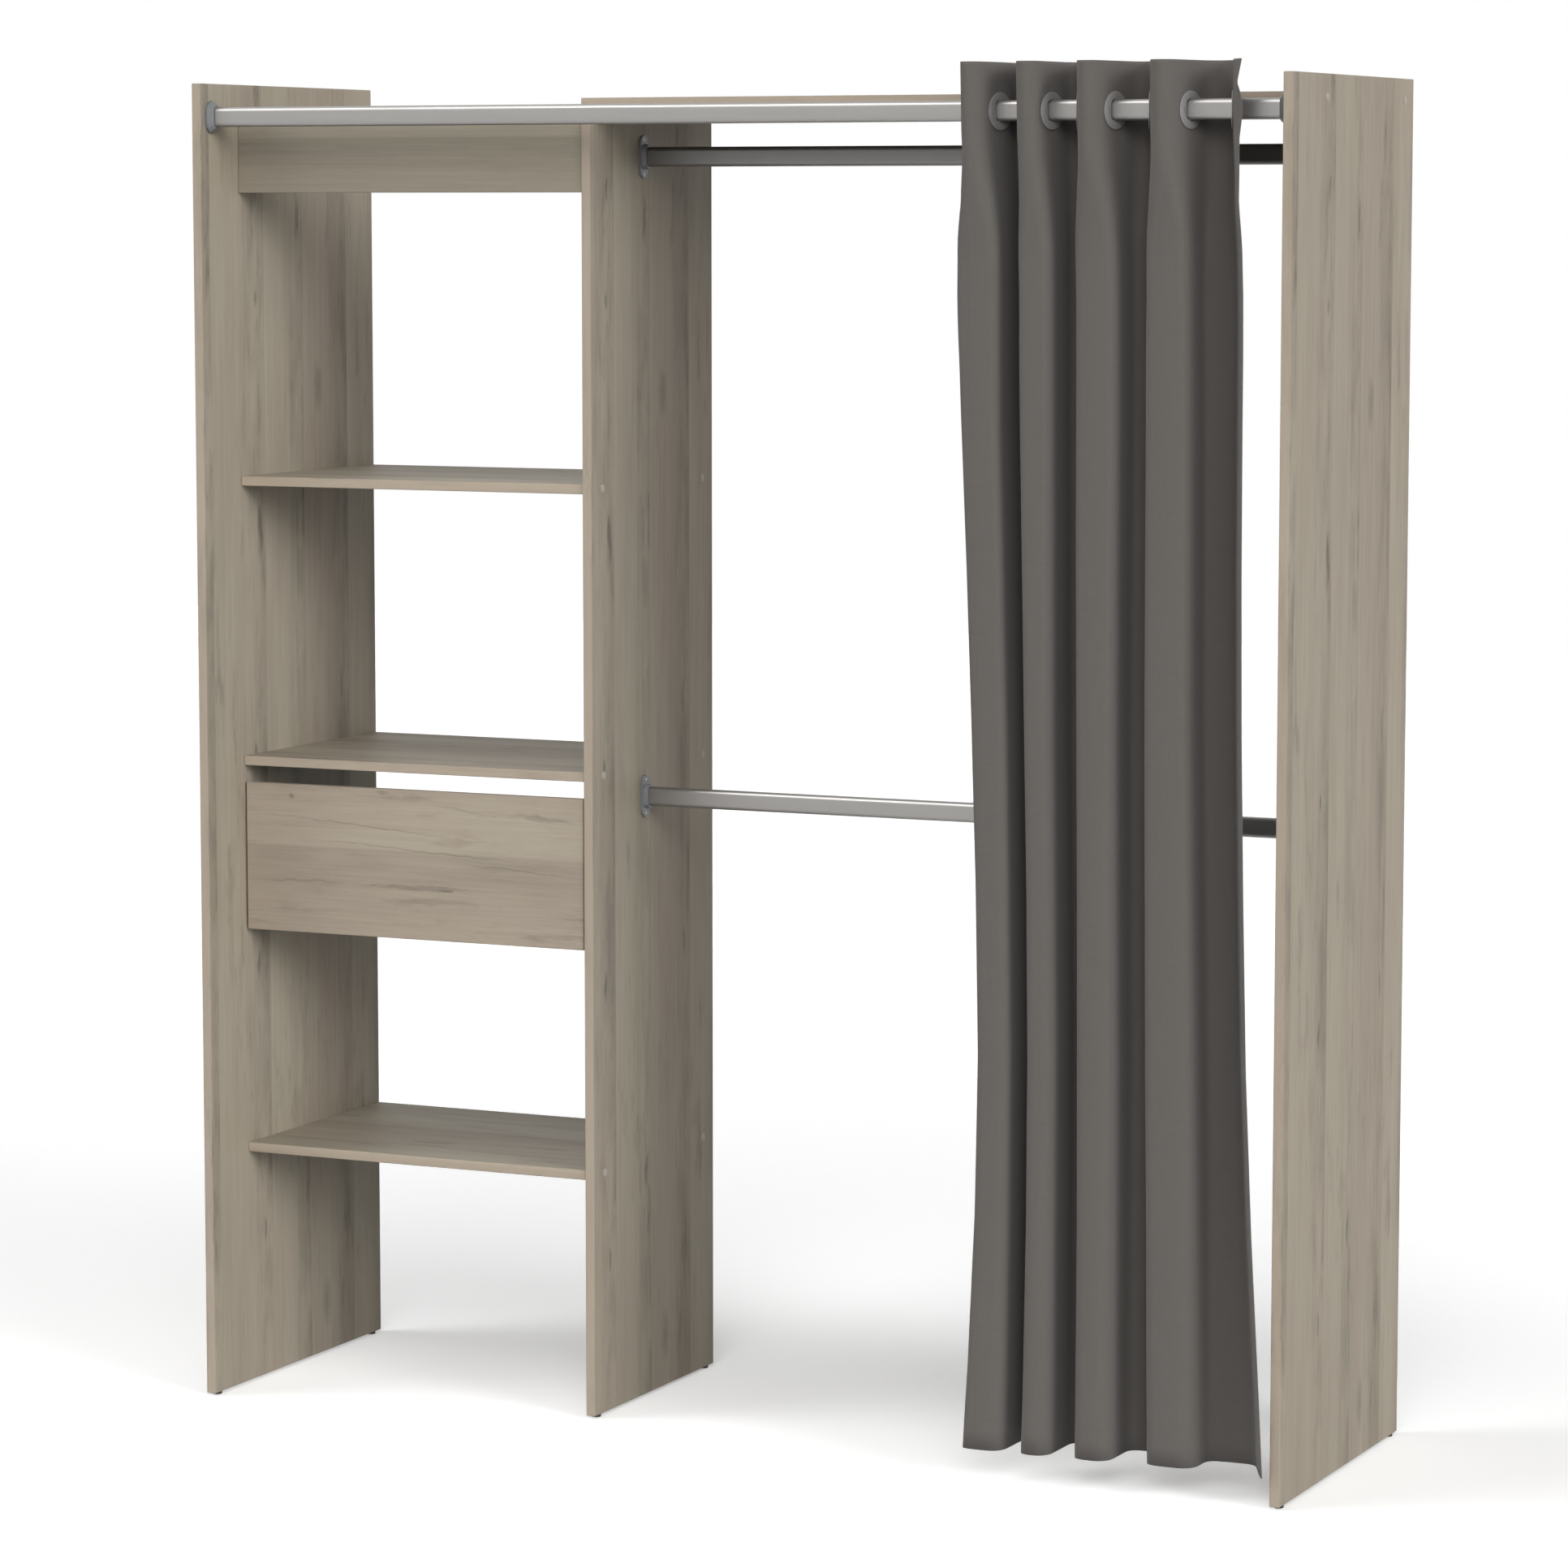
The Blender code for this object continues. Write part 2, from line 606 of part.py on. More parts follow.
def make_runners(root, drawer, front_z, steel, nylon):
    """A roller slide on each side: one roller on the upright, one on the drawer."""
    centre_z = front_z + DRAWER_BOX_LIFT + ROLLER_RADIUS + FIT
    start_y = SHELF_FRONT + BOARD + FIT
    roller_x = RUNNER_GAUGE + AXLE_HEAD_THICKNESS + 3 * FIT + ROLLER_WIDTH / 2
    mesh = roller_mesh()
    mesh.materials.append(nylon)
    drawer_place = Vector(drawer.location)
    front_roller_y = start_y + ROLLER_INSET
    rear_roller_y = start_y + DRAWER_BOX_LENGTH - ROLLER_INSET
    for label, face_x, side in (("left", BOARD, 1), ("right", CENTRE_X, -1)):
        runner = extruded_mesh("cabinet_runner", cabinet_runner_outline(side), DRAWER_BOX_LENGTH)
        place = Vector((face_x, start_y, centre_z))
        cabinet = make_piece(f"cabinet_runner_{label}", runner, steel, root, place)
        roller_far = roller_x + ROLLER_WIDTH / 2
        pin = axle_mesh("cabinet_axle", FIT + RUNNER_GAUGE, roller_far, side)
        pin_place = Vector((face_x, front_roller_y, centre_z))
        axle = make_cutter(f"cabinet_axle_{label}", pin, root, pin_place)
        combine(cabinet, axle, "UNION")

        outline = drawer_runner_outline(side)
        strip = extruded_mesh("drawer_runner", outline, DRAWER_BOX_LENGTH)
        moving = make_piece(f"drawer_runner_{label}", strip, steel, drawer, place - drawer_place)
        web = RUNNER_SPACE - FIT - RUNNER_GAUGE
        pin = axle_mesh("drawer_axle", web, roller_x - ROLLER_WIDTH / 2, side)
        pin_place = Vector((face_x, rear_roller_y, centre_z)) - drawer_place
        axle = make_cutter(f"drawer_axle_{label}", pin, drawer, pin_place)
        combine(moving, axle, "UNION")

        roller_place = Vector((face_x + side * roller_x, front_roller_y, centre_z))
        make_piece(f"cabinet_roller_{label}", mesh, None, root, roller_place)
        roller_place.y = rear_roller_y
        make_piece(f"drawer_roller_{label}", mesh, None, drawer, roller_place - drawer_place)


def make_drawer(root, wood, hardboard, steel, nylon):
    """The handleless drawer under the middle shelf."""
    middle_z = FLOOR_TO_PANEL + MIDDLE_SHELF_HEIGHT
    front_z = middle_z - DRAWER_FINGER_GAP - DRAWER_FRONT_HEIGHT
    place = (BOARD + DRAWER_FRONT_GAP, SHELF_FRONT, front_z)
    drawer = make_empty("drawer_slide", root, place)
    make_drawer_boards(drawer, wood, hardboard)
    make_runners(root, drawer, front_z, steel, nylon)


def crossing_direction(index):
    """Plan direction of the cloth where it passes the rod at an eyelet."""
    if index % 2 == 0:
        return np.array([math.sin(FORWARD_TILT), math.cos(FORWARD_TILT)])
    return np.array([math.sin(RETURN_TILT), -math.cos(RETURN_TILT)])


def fold(start, start_direction, end, end_direction, length):
    """A fold of the given length between two points, leaving and arriving along their directions."""
    shares = np.linspace(0.0, 1.0, LOOP_STEPS + 1)[:, None]
    fine = np.linspace(0.0, 1.0, 8 * LOOP_STEPS + 1)[:, None]

    def curve(reach, t):
        first = start + reach * start_direction
        second = end - reach * end_direction
        ends = (1 - t) ** 3 * start + t**3 * end
        return ends + 3 * (1 - t) ** 2 * t * first + 3 * (1 - t) * t**2 * second

    low, high = 0.0, length
    for _ in range(40):
        reach = (low + high) / 2
        points = curve(reach, fine)
        if np.linalg.norm(np.diff(points, axis=0), axis=1).sum() < length:
            low = reach
        else:
            high = reach
    return curve(low, shares)


def cloth_row(height_share, flank_share):
    """Plan view of the cloth at one height, as (x, y) points from its leading edge."""
    drop = 1.0 - min(1.0, height_share / ROW_SHARES[-2][0])
    top = np.array(TOP_PLACE_SHARES) * GATHERED_WIDTH
    hem = np.array(HEM_PLACE_SHARES) * HEM_WIDTH + HEM_SHIFT
    places = FIRST_EYELET_X + top * (1.0 - drop) + hem * drop
    centres = [np.array([x, CURTAIN_ROD_DEPTH]) for x in places]
    flank = FLANK * flank_share
    lead = crossing_direction(1)
    lead_centre = centres[0] - np.array([LEADING_EDGE_REACH, 0.0])
    first = crossing_direction(0)
    start = lead_centre + flank * lead
    rows = [fold(start, lead, centres[0] - flank * first, first, LEADING_FLAP - FLANK)]
    for index in range(len(centres) - 1):
        leaving, arriving = crossing_direction(index), crossing_direction(index + 1)
        start = centres[index] + flank * leaving
        end = centres[index + 1] - flank * arriving
        rows.append(fold(start, leaving, end, arriving, EYELET_SPACING - 2 * flank))
    last = centres[-1] + flank * crossing_direction(len(centres) - 1)
    turn = np.array([math.sin(TRAILING_TURN), -math.cos(TRAILING_TURN)])
    rows.append(np.array([last, last + turn * (TRAILING_FLAP - flank)]))
    return np.vstack(rows)


def curtain_mesh():
    """The middle surface of the folded cloth, about the rod's left end."""
    builder = bmesh.new()
    rows = []
    for height_share, flank_share in ROW_SHARES:
        z = HEM_Z + height_share * CURTAIN_LENGTH - CURTAIN_ROD_Z
        plan = cloth_row(height_share, flank_share) - np.array([0.0, CURTAIN_ROD_DEPTH])
        rows.append([builder.verts.new((x, y, z)) for x, y in plan])
    for lower, upper in zip(rows, rows[1:]):
        for index in range(len(lower) - 1):
            corners = (lower[index], lower[index + 1], upper[index + 1], upper[index])
            builder.faces.new(corners)
    bmesh.ops.remove_doubles(builder, verts=builder.verts, dist=WELD)
    return finish_mesh(builder, "curtain", smooth=True)


def eyelet_mesh():
    """A ring with a collar through the cloth and a washer on each side of it."""
    slot = CLOTH / 2 + FIT
    face = slot + EYELET_WALL
    neck = EYELET_BORE_RADIUS + EYELET_WALL
    profile = [
        (-face, EYELET_BORE_RADIUS + EYELET_ROUND),
        (-face, EYELET_RADIUS - EYELET_ROUND),
        (-face + EYELET_ROUND, EYELET_RADIUS),
        (-slot, EYELET_RADIUS),
        (-slot, neck),
        (slot, neck),
        (slot, EYELET_RADIUS),
        (face - EYELET_ROUND, EYELET_RADIUS),
        (face, EYELET_RADIUS - EYELET_ROUND),
        (face, EYELET_BORE_RADIUS + EYELET_ROUND),
        (face - EYELET_ROUND, EYELET_BORE_RADIUS),
        (-face + EYELET_ROUND, EYELET_BORE_RADIUS),
    ]
    return turned_mesh("eyelet", profile, EYELET_SIDES, closed=True)


def make_curtain(root, fabric, grey):
    """The cloth and its eyelets, which slide along the curtain rod."""
    slide = make_empty("curtain_slide", root, (0.0, CURTAIN_ROD_DEPTH, CURTAIN_ROD_Z))
    origin = (0.0, 0.0, 0.0)
    cloth = make_piece("curtain", curtain_mesh(), fabric, slide, origin)
    thickness = cloth.modifiers.new("thickness", "SOLIDIFY")
    thickness.thickness = CLOTH
    thickness.offset = 0.0
    ring = eyelet_mesh()
    ring.materials.append(grey)
    hole_radius = EYELET_BORE_RADIUS + EYELET_WALL + FIT
    reach = CLOTH + CUT_OVERRUN
    profile = [(-reach, 0.0), (-reach, hole_radius), (reach, hole_radius), (reach, 0.0)]
    hole_mesh = turned_mesh("eyelet_hole", profile, EYELET_SIDES)
    for index, share in enumerate(TOP_PLACE_SHARES):
        x = FIRST_EYELET_X + share * GATHERED_WIDTH
        turn = -FORWARD_TILT if index % 2 == 0 else RETURN_TILT
        place = (x, 0.0, EYELET_Z - CURTAIN_ROD_Z)
        name = f"curtain_eyelet_{index + 1}"
        make_piece(name, ring, None, slide, place, turn)
        cutter = make_cutter(f"cut_{name}", hole_mesh, slide, place, turn)
        combine(cloth, cutter)


def fold_reach():
    """How far the folds stand out in front of the uprights."""
    rows = [cloth_row(*shares)[:, 1].min() for shares in ROW_SHARES]
    return CLOTH / 2 - min(rows)


def build():
    """Make every piece under one empty at the middle of the footprint."""
    clear_scene()
    wood = make_material("oak_decor", (0.36, 0.31, 0.25), 0.55)
    hardboard = make_material("hardboard", (0.55, 0.50, 0.44), 0.7)
    metal = make_material("rod_metal", (0.60, 0.59, 0.58), 0.3, 1.0)
    paint = make_material("flange_grey", (0.23, 0.24, 0.24), 0.45)
    steel = make_material("runner_paint", (0.80, 0.79, 0.76), 0.4)
    nylon = make_material("roller_nylon", (0.85, 0.85, 0.82), 0.5)
    plastic = make_material("glide_plastic", (0.05, 0.045, 0.04), 0.6)
    cap = make_material("cap_plastic", (0.33, 0.29, 0.24), 0.5)
    fabric = make_material("curtain_cloth", (0.13, 0.12, 0.11), 0.95)
    grey = make_material("eyelet_grey", (0.22, 0.22, 0.215), 0.4, 0.3)
    middle_y = (PANEL_DEPTH - fold_reach()) / 2
    root = make_empty("wardrobe", None, (-WIDTH / 2, -middle_y, 0.0))
    pieces = make_carcass(root, wood)
    make_glides(root, pieces, plastic)
    make_screws(root, pieces, cap)
    make_rods(root, metal, paint)
    make_drawer(root, wood, hardboard, steel, nylon)
    make_curtain(root, fabric, grey)
    bpy.context.view_layer.update()


build()
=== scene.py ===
"""Looks of an open-front wardrobe with an eyelet curtain, laid out as a Blender add-on.

The boards, slides and flanges come from the frame and get their finishes here. The
curtain, its eyelets, the rods, the cover caps, the glides and the flange screws are
surfaces worked out with numpy. Metres, +Z up, in the frame's own axes.
"""

import math

import bpy
import numpy as np
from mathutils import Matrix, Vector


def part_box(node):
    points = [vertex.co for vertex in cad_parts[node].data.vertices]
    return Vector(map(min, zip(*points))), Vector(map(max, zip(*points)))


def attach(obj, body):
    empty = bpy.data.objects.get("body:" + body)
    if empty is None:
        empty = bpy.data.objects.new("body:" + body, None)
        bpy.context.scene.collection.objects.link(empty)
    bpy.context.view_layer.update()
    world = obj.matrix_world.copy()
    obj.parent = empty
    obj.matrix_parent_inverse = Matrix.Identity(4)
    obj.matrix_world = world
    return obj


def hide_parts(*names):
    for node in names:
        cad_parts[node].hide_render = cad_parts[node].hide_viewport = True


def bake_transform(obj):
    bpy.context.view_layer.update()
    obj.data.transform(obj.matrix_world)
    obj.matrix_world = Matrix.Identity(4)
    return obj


bl_info = {
    "name": "Open-front wardrobe",
    "version": (1, 0, 0),
    "blender": (4, 5, 0),
    "location": "3D View > Sidebar > Wardrobe",
    "description": "Dresses an open-front wardrobe with a curtain and sets a plain studio",
    "category": "Object",
}

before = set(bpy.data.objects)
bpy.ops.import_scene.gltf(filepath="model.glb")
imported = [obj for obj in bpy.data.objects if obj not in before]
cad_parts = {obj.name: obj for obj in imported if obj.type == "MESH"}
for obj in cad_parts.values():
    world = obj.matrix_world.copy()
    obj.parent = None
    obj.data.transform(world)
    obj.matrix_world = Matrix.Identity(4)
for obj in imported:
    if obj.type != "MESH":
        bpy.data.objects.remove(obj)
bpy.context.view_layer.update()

# Boards by the way their grain runs, and the axis that their faces look along
UPRIGHTS = ("left_side_panel", "centre_panel", "right_side_panel")
SHELVES = ("upper_shelf", "middle_shelf", "lower_shelf", "top_board")
DRAWER_SIDES = ("drawer_left_side", "drawer_right_side")
RODS = ("curtain_rod", "upper_hanging_rod", "lower_hanging_rod")
HANGING_RODS = RODS[1:]
ENDS = ("left", "right")
GLIDES = [f"{side}_{end}_glide" for side in ("left", "centre", "right") for end in ("front", "rear")]
SCREWS = sorted(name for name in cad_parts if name.endswith("_screw"))
EYELETS = [f"curtain_eyelet_{number}" for number in range(1, 9)]
EYELET_BODIES = ["curtain_lead"] + [f"ring_{number}" for number in range(2, 8)] + ["curtain_tail"]

# Planks that the decor shows side by side, over and over: width, tone and hue
PLANKS = (
    (0.1605, 0.58, 0.35),
    (0.1200, 0.62, 0.15),
    (0.1395, 0.50, 0.55),
    (0.1050, 0.66, 0.30),
    (0.1300, 0.44, 0.80),
    (0.0900, 0.60, 0.10),
    (0.1500, 0.52, 0.45),
    (0.1150, 0.68, 0.25),
)
FIRST_PLANK = -0.220

# Marks of the decor: place across and along the grain, half width and half length in
# millimetres, then tilt and strength
UPRIGHT_MARKS = (
    (-83, 1870, 5, 22, 0.0, 0.8),
    (-87, 1703, 5, 14, 0.0, 0.9),
    (-78, 1348, 8, 45, -0.06, 1.0),
    (-98, 998, 5, 18, 0.0, 1.0),
    (-95, 664, 6, 24, 0.0, 0.8),
    (-83, 238, 5, 20, 0.0, 0.8),
    (45, 1828, 7, 38, 0.05, 0.9),
    (106, 1560, 16, 42, 0.0, 0.6),
    (44, 1270, 14, 45, 0.0, 0.5),
    (43, 355, 7, 32, 0.05, 0.9),
    (109, 85, 16, 40, 0.0, 0.6),
    (172, 1080, 5, 30, 0.0, 0.6),
    (177, 700, 5, 26, 0.0, 0.7),
)
DRAWER_MARKS = (
    (926.5, -785, 5, 6, 0.0, 1.0),
    (939.5, -624, 4.5, 11, 0.0, 0.6),
    (791.5, -514, 2.2, 16, 0.0, 1.0),
    (912, -345, 5, 60, -0.08, 0.8),
    (918, -480, 1.4, 60, -0.12, 0.6),
    (795, -560, 5, 110, 0.0, 0.7),
    (796, -760, 3, 100, 0.03, 0.5),
    (885, -640, 1.3, 190, -0.07, 0.7),
    (852, -560, 1.3, 200, -0.05, 0.6),
    (830, -380, 1.3, 110, -0.06, 0.5),
)

# The rods' oval, as in the frame
ROD_HEIGHT = 0.030
ROD_DEPTH = 0.015
ROD_WALL = 0.0012

# The cloth's cut and where it hangs
CURTAIN_WIDTH = 1.025
CURTAIN_LENGTH = 2.000
EYELET_SPACING = 0.125
LEADING_FLAP = 0.100
TRAILING_FLAP = CURTAIN_WIDTH - LEADING_FLAP - 7 * EYELET_SPACING
HEADER_HEIGHT = 0.080
HEM_HEIGHT = 0.045
SIDE_HEM = 0.020
STITCH_LENGTH = 0.0032
RING_ZONE = 0.110

# Gathered places of the eyelets and of the folds under them at the hem
GATHERED_WIDTH = 0.3537
HEM_WIDTH = 0.3827
HEM_SHIFT = 0.011
TOP_PLACE_SHARES = np.array((0.0, 0.102, 0.225, 0.344, 0.497, 0.652, 0.816, 1.0))
HEM_PLACE_SHARES = np.array((0.0, 0.094, 0.208, 0.318, 0.462, 0.610, 0.783, 1.0))

# How the folds' corners lie beside their eyelets further down, and how far the free edge
# reaches, by depth and in tenths of a millimetre
DEPTHS = (0.0, 0.105, 0.15, 0.20, 0.26, 0.33, 0.42, 0.51, 0.72, 0.95, 1.18, 1.42, 1.65, 1.89, 2.0)
CORNER_SHIFTS = 0.0001 * np.array(
    (
        (0, 20, 52, 95, 122, 122, 122, 122, 180, 245, 280, 306, 280, 233, 200),
        (0, 18, 45, 68, 70, 85, 85, 98, 135, 170, 208, 220, 196, 135, 98),
        (0, 18, 50, 85, 110, 110, 110, 110, 115, 122, 150, 171, 155, 135, 120),
        (0, 12, 30, 49, 60, 73, 73, 73, 73, 86, 98, 98, 98, 73, 60),
        (0, 18, 50, 85, 110, 122, 122, 122, 100, 86, 90, 98, 90, 73, 70),
        (0, 10, 28, 42, 37, 37, 24, 24, 12, 0, 0, 0, 12, 12, 24),
        (0, 8, 25, 43, 61, 61, 61, 61, 50, 37, 60, 86, 100, 110, 110),
        (0, 5, 16, 18, 50, 58, 46, 26, -12, -36, -38, -28, 26, 115, 150),
    )
)
LEADING_REACHES = 0.0001 * np.array(
    (410, 410, 430, 470, 560, 587, 541, 514, 492, 484, 455, 446, 464, 528, 573)
)

# Angles of the cloth where it crosses the rod, measured from the rod
BACKWARD_ANGLE = math.radians(75.0)
FORWARD_ANGLE = math.radians(-71.0)

# Folds that go forward by less than this get steeper flanks and smaller bends at the rod
SHORT_FOLD = 0.056
SHORT_RANGE = 0.018

# Soft boxes: degrees to the right of straight in front, degrees up, strength and narrowness
SOFT_BOXES = (
    (20.0, 26.0, 9.3, 20.0),
    (-60.0, 34.0, 7.4, 20.0),
    (69.0, 17.0, 21.0, 45.0),
    (178.0, 20.0, 1.1, 8.0),
)

# Eyelets
EYELET_RADIUS = 0.0270
EYELET_BORE = 0.0160
EYELET_HALF = 0.0026
CLOTH_HOLE = 0.020


def box_centre(node):
    """Middle of a CAD node's box."""
    low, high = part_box(node)
    return (np.array(low) + np.array(high)) / 2


ROD_CENTRE = box_centre("curtain_rod")
FIRST_EYELET = box_centre("curtain_eyelet_1")
CURTAIN_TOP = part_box("curtain")[1].z

# The rings sit a little higher than their CAD nodes, so that the rod runs through their middle
EYELET_RISE = ROD_CENTRE[2] - FIRST_EYELET[2] - 0.0008


class WARDROBE_PG_boards(bpy.types.PropertyGroup):
    """The decor of the boards."""

    light: bpy.props.FloatVectorProperty(
        name="Light grain",
        description="Colour of the light parts of the decor",
        subtype="COLOR",
        default=(0.362, 0.318, 0.250),
    )
    dark: bpy.props.FloatVectorProperty(
        name="Dark grain",
        description="Colour of the dark streaks of the decor",
        subtype="COLOR",
        default=(0.146, 0.129, 0.104),
    )
    edge: bpy.props.FloatVectorProperty(
        name="Edge band",
        description="Colour of the bands on the boards' narrow edges",
        subtype="COLOR",
        default=(0.340, 0.285, 0.223),
    )
    contrast: bpy.props.FloatProperty(
        name="Contrast", description="Strength of the bands and smudges of the decor", default=1.0, min=0.0
    )


class WARDROBE_PG_metal(bpy.types.PropertyGroup):
    """Finishes of the rods, flanges and eyelets."""

    rod: bpy.props.FloatVectorProperty(
        name="Rod", description="Colour of the satin rods", subtype="COLOR", default=(0.32, 0.31, 0.30)
    )
    # A darker copy of the rod colour: painted shade for the upper hanging rod, which lies under the top board
    painted_shade_rod: bpy.props.FloatVectorProperty(
        name="Shaded rod",
        description="Colour of the upper hanging rod",
        subtype="COLOR",
        default=(0.19, 0.187, 0.182),
    )
    flange: bpy.props.FloatVectorProperty(
        name="Flange", description="Colour of the rod flanges", subtype="COLOR", default=(0.15, 0.155, 0.16)
    )
    eyelet: bpy.props.FloatVectorProperty(
        name="Eyelet",
        description="Colour of the curtain's eyelets",
        subtype="COLOR",
        default=(0.28, 0.276, 0.27),
    )
    roughness: bpy.props.FloatProperty(
        name="Rod roughness", description="Roughness of the satin rods", default=0.45, min=0.0, max=1.0
    )


class WARDROBE_PG_curtain(bpy.types.PropertyGroup):
    """Cloth of the curtain."""

    colour: bpy.props.FloatVectorProperty(
        name="Cloth", description="Colour of the cloth", subtype="COLOR", default=(0.107, 0.097, 0.089)
    )
    thickness: bpy.props.FloatProperty(
        name="Thickness",
        description="Thickness of the cloth at its hems",
        subtype="DISTANCE",
        default=0.0015,
    )
    thread: bpy.props.FloatProperty(
        name="Thread", description="Distance between two threads", subtype="DISTANCE", default=0.0006
    )


class WARDROBE_PG_stage(bpy.types.PropertyGroup):
    """Camera and lights."""

    camera_place: bpy.props.FloatVectorProperty(
        name="Camera",
        description="Place of the camera",
        subtype="TRANSLATION",
        default=(3.3517, -7.2738, 1.8432),
    )
    camera_pitch: bpy.props.FloatProperty(
        name="Pitch",
        description="How far the camera looks down",
        subtype="ANGLE",
        default=math.radians(6.1856),
    )
    camera_turn: bpy.props.FloatProperty(
        name="Turn",
        description="How far the camera is turned to the left",
        subtype="ANGLE",
        default=math.radians(24.7904),
    )
    lens: bpy.props.FloatProperty(name="Lens", description="Focal length in millimetres", default=122.17)
    sky: bpy.props.FloatProperty(
        name="Sky", description="Strength of the even surrounding light", default=0.02
    )
    light: bpy.props.FloatProperty(
        name="Soft boxes", description="Strength of all soft boxes", default=0.75
    )
    shine: bpy.props.FloatProperty(
        name="Shine", description="Strength of the lamp that only shiny pieces mirror", default=1.6
    )


class Wire:
    """A value in a shader tree: plus, minus, times and divided by make Math nodes."""

    def __init__(self, tree, socket):
        self.tree = tree
        self.socket = socket

    def __add__(self, other):
        return self.calc("ADD", other)

    def __sub__(self, other):
        return self.calc("SUBTRACT", other)

    def __mul__(self, other):
        return self.calc("MULTIPLY", other)

    def __truediv__(self, other):
        return self.calc("DIVIDE", other)

    def calc(self, operation, other=0.0, clamp=False):
        """Result of any Math node on this value and another one."""
        return add_node("ShaderNodeMath", {0: self, 1: other}, operation=operation, use_clamp=clamp)[0]


def lead(value, socket):
    """Set a socket to a constant, or lead a wire to it."""
    if isinstance(value, Wire):
        value.tree.links.new(value.socket, socket)
    else:
        socket.default_value = value


def add_node(kind, inputs=None, tree=None, **settings):
    """A shader node with its settings and inputs: its outputs as wires, by number and by name."""
    inputs = inputs or {}
    if tree is None:
        tree = next(value.tree for value in inputs.values() if isinstance(value, Wire))
    node = tree.nodes.new(kind)
    for name, value in settings.items():
        setattr(node, name, value)
    for key, value in inputs.items():
        lead(value, node.inputs[key])
    wires = {}
    for number, socket in enumerate(node.outputs):
        wires[number] = wires[socket.name] = Wire(tree, socket)
    return wires


def remap(value, low, high, to_low=0.0, to_high=1.0, smooth=True):
    """A value taken from one range to another, held at the ends."""
    inputs = {"Value": value, "From Min": low, "From Max": high, "To Min": to_low, "To Max": to_high}
    kind = "SMOOTHSTEP" if smooth else "LINEAR"
    return add_node("ShaderNodeMapRange", inputs, interpolation_type=kind)[0]


def mix_colour(factor, first, second, blend="MIX"):
    """Two colours mixed by a factor."""
    inputs = {0: factor, 6: first, 7: second}
    return add_node("ShaderNodeMix", inputs, data_type="RGBA", blend_type=blend)[2]


def split(vector):
    """The three parts of a vector."""
    parts = add_node("ShaderNodeSeparateXYZ", {0: vector})
    return parts[0], parts[1], parts[2]


def combine(x, y, z):
    """A vector from three values."""
    return add_node("ShaderNodeCombineXYZ", {0: x, 1: y, 2: z})[0]


def stretched_noise(vector, scale, detail=3.0, roughness=0.55):
    """Noise with its own scale along each axis, from 0 to 1."""
    placed = add_node("ShaderNodeVectorMath", {0: vector, 1: scale}, operation="MULTIPLY")[0]
    inputs = {"Vector": placed, "Scale": 1.0, "Detail": detail, "Roughness": roughness}
    return add_node("ShaderNodeTexNoise", inputs)["Fac"]


def new_group(name, inputs, outputs):
    """A shader node group with named sockets: wires from its inputs, and its output sockets."""
    group = bpy.data.node_groups.new(name, "ShaderNodeTree")
    for label, kind, value in inputs:
        socket = group.interface.new_socket(name=label, in_out="INPUT", socket_type=f"NodeSocket{kind}")
        if value is not None:
            socket.default_value = value
    for label in outputs:
        group.interface.new_socket(name=label, in_out="OUTPUT", socket_type="NodeSocketFloat")
    return group, add_node("NodeGroupInput", tree=group), group.nodes.new("NodeGroupOutput").inputs


def plank_ramp(across):
    """Progress through its plank, tone and hue of the plank at a place across the grain."""
    total = sum(width for width, _, _ in PLANKS)
    ramp = across.tree.nodes.new("ShaderNodeValToRGB")
    lead(((across - FIRST_PLANK) / total).calc("FRACT"), ramp.inputs[0])
    stops = ramp.color_ramp.elements
    start, joint = 0.0, 0.0002
    for number, (width, tone, hue) in enumerate(PLANKS):
        end = start + width / total
        first = stops[0] if number == 0 else stops.new(start + joint)
        first.color = (0.0, tone, hue, 1.0)
        last = stops[-1] if number == len(PLANKS) - 1 else stops.new(end - joint)
        last.color = (1.0, tone, hue, 1.0)
        start = end
    parts = add_node("ShaderNodeSeparateColor", {0: Wire(across.tree, ramp.outputs[0])})
    return parts[0], parts[1], parts[2]


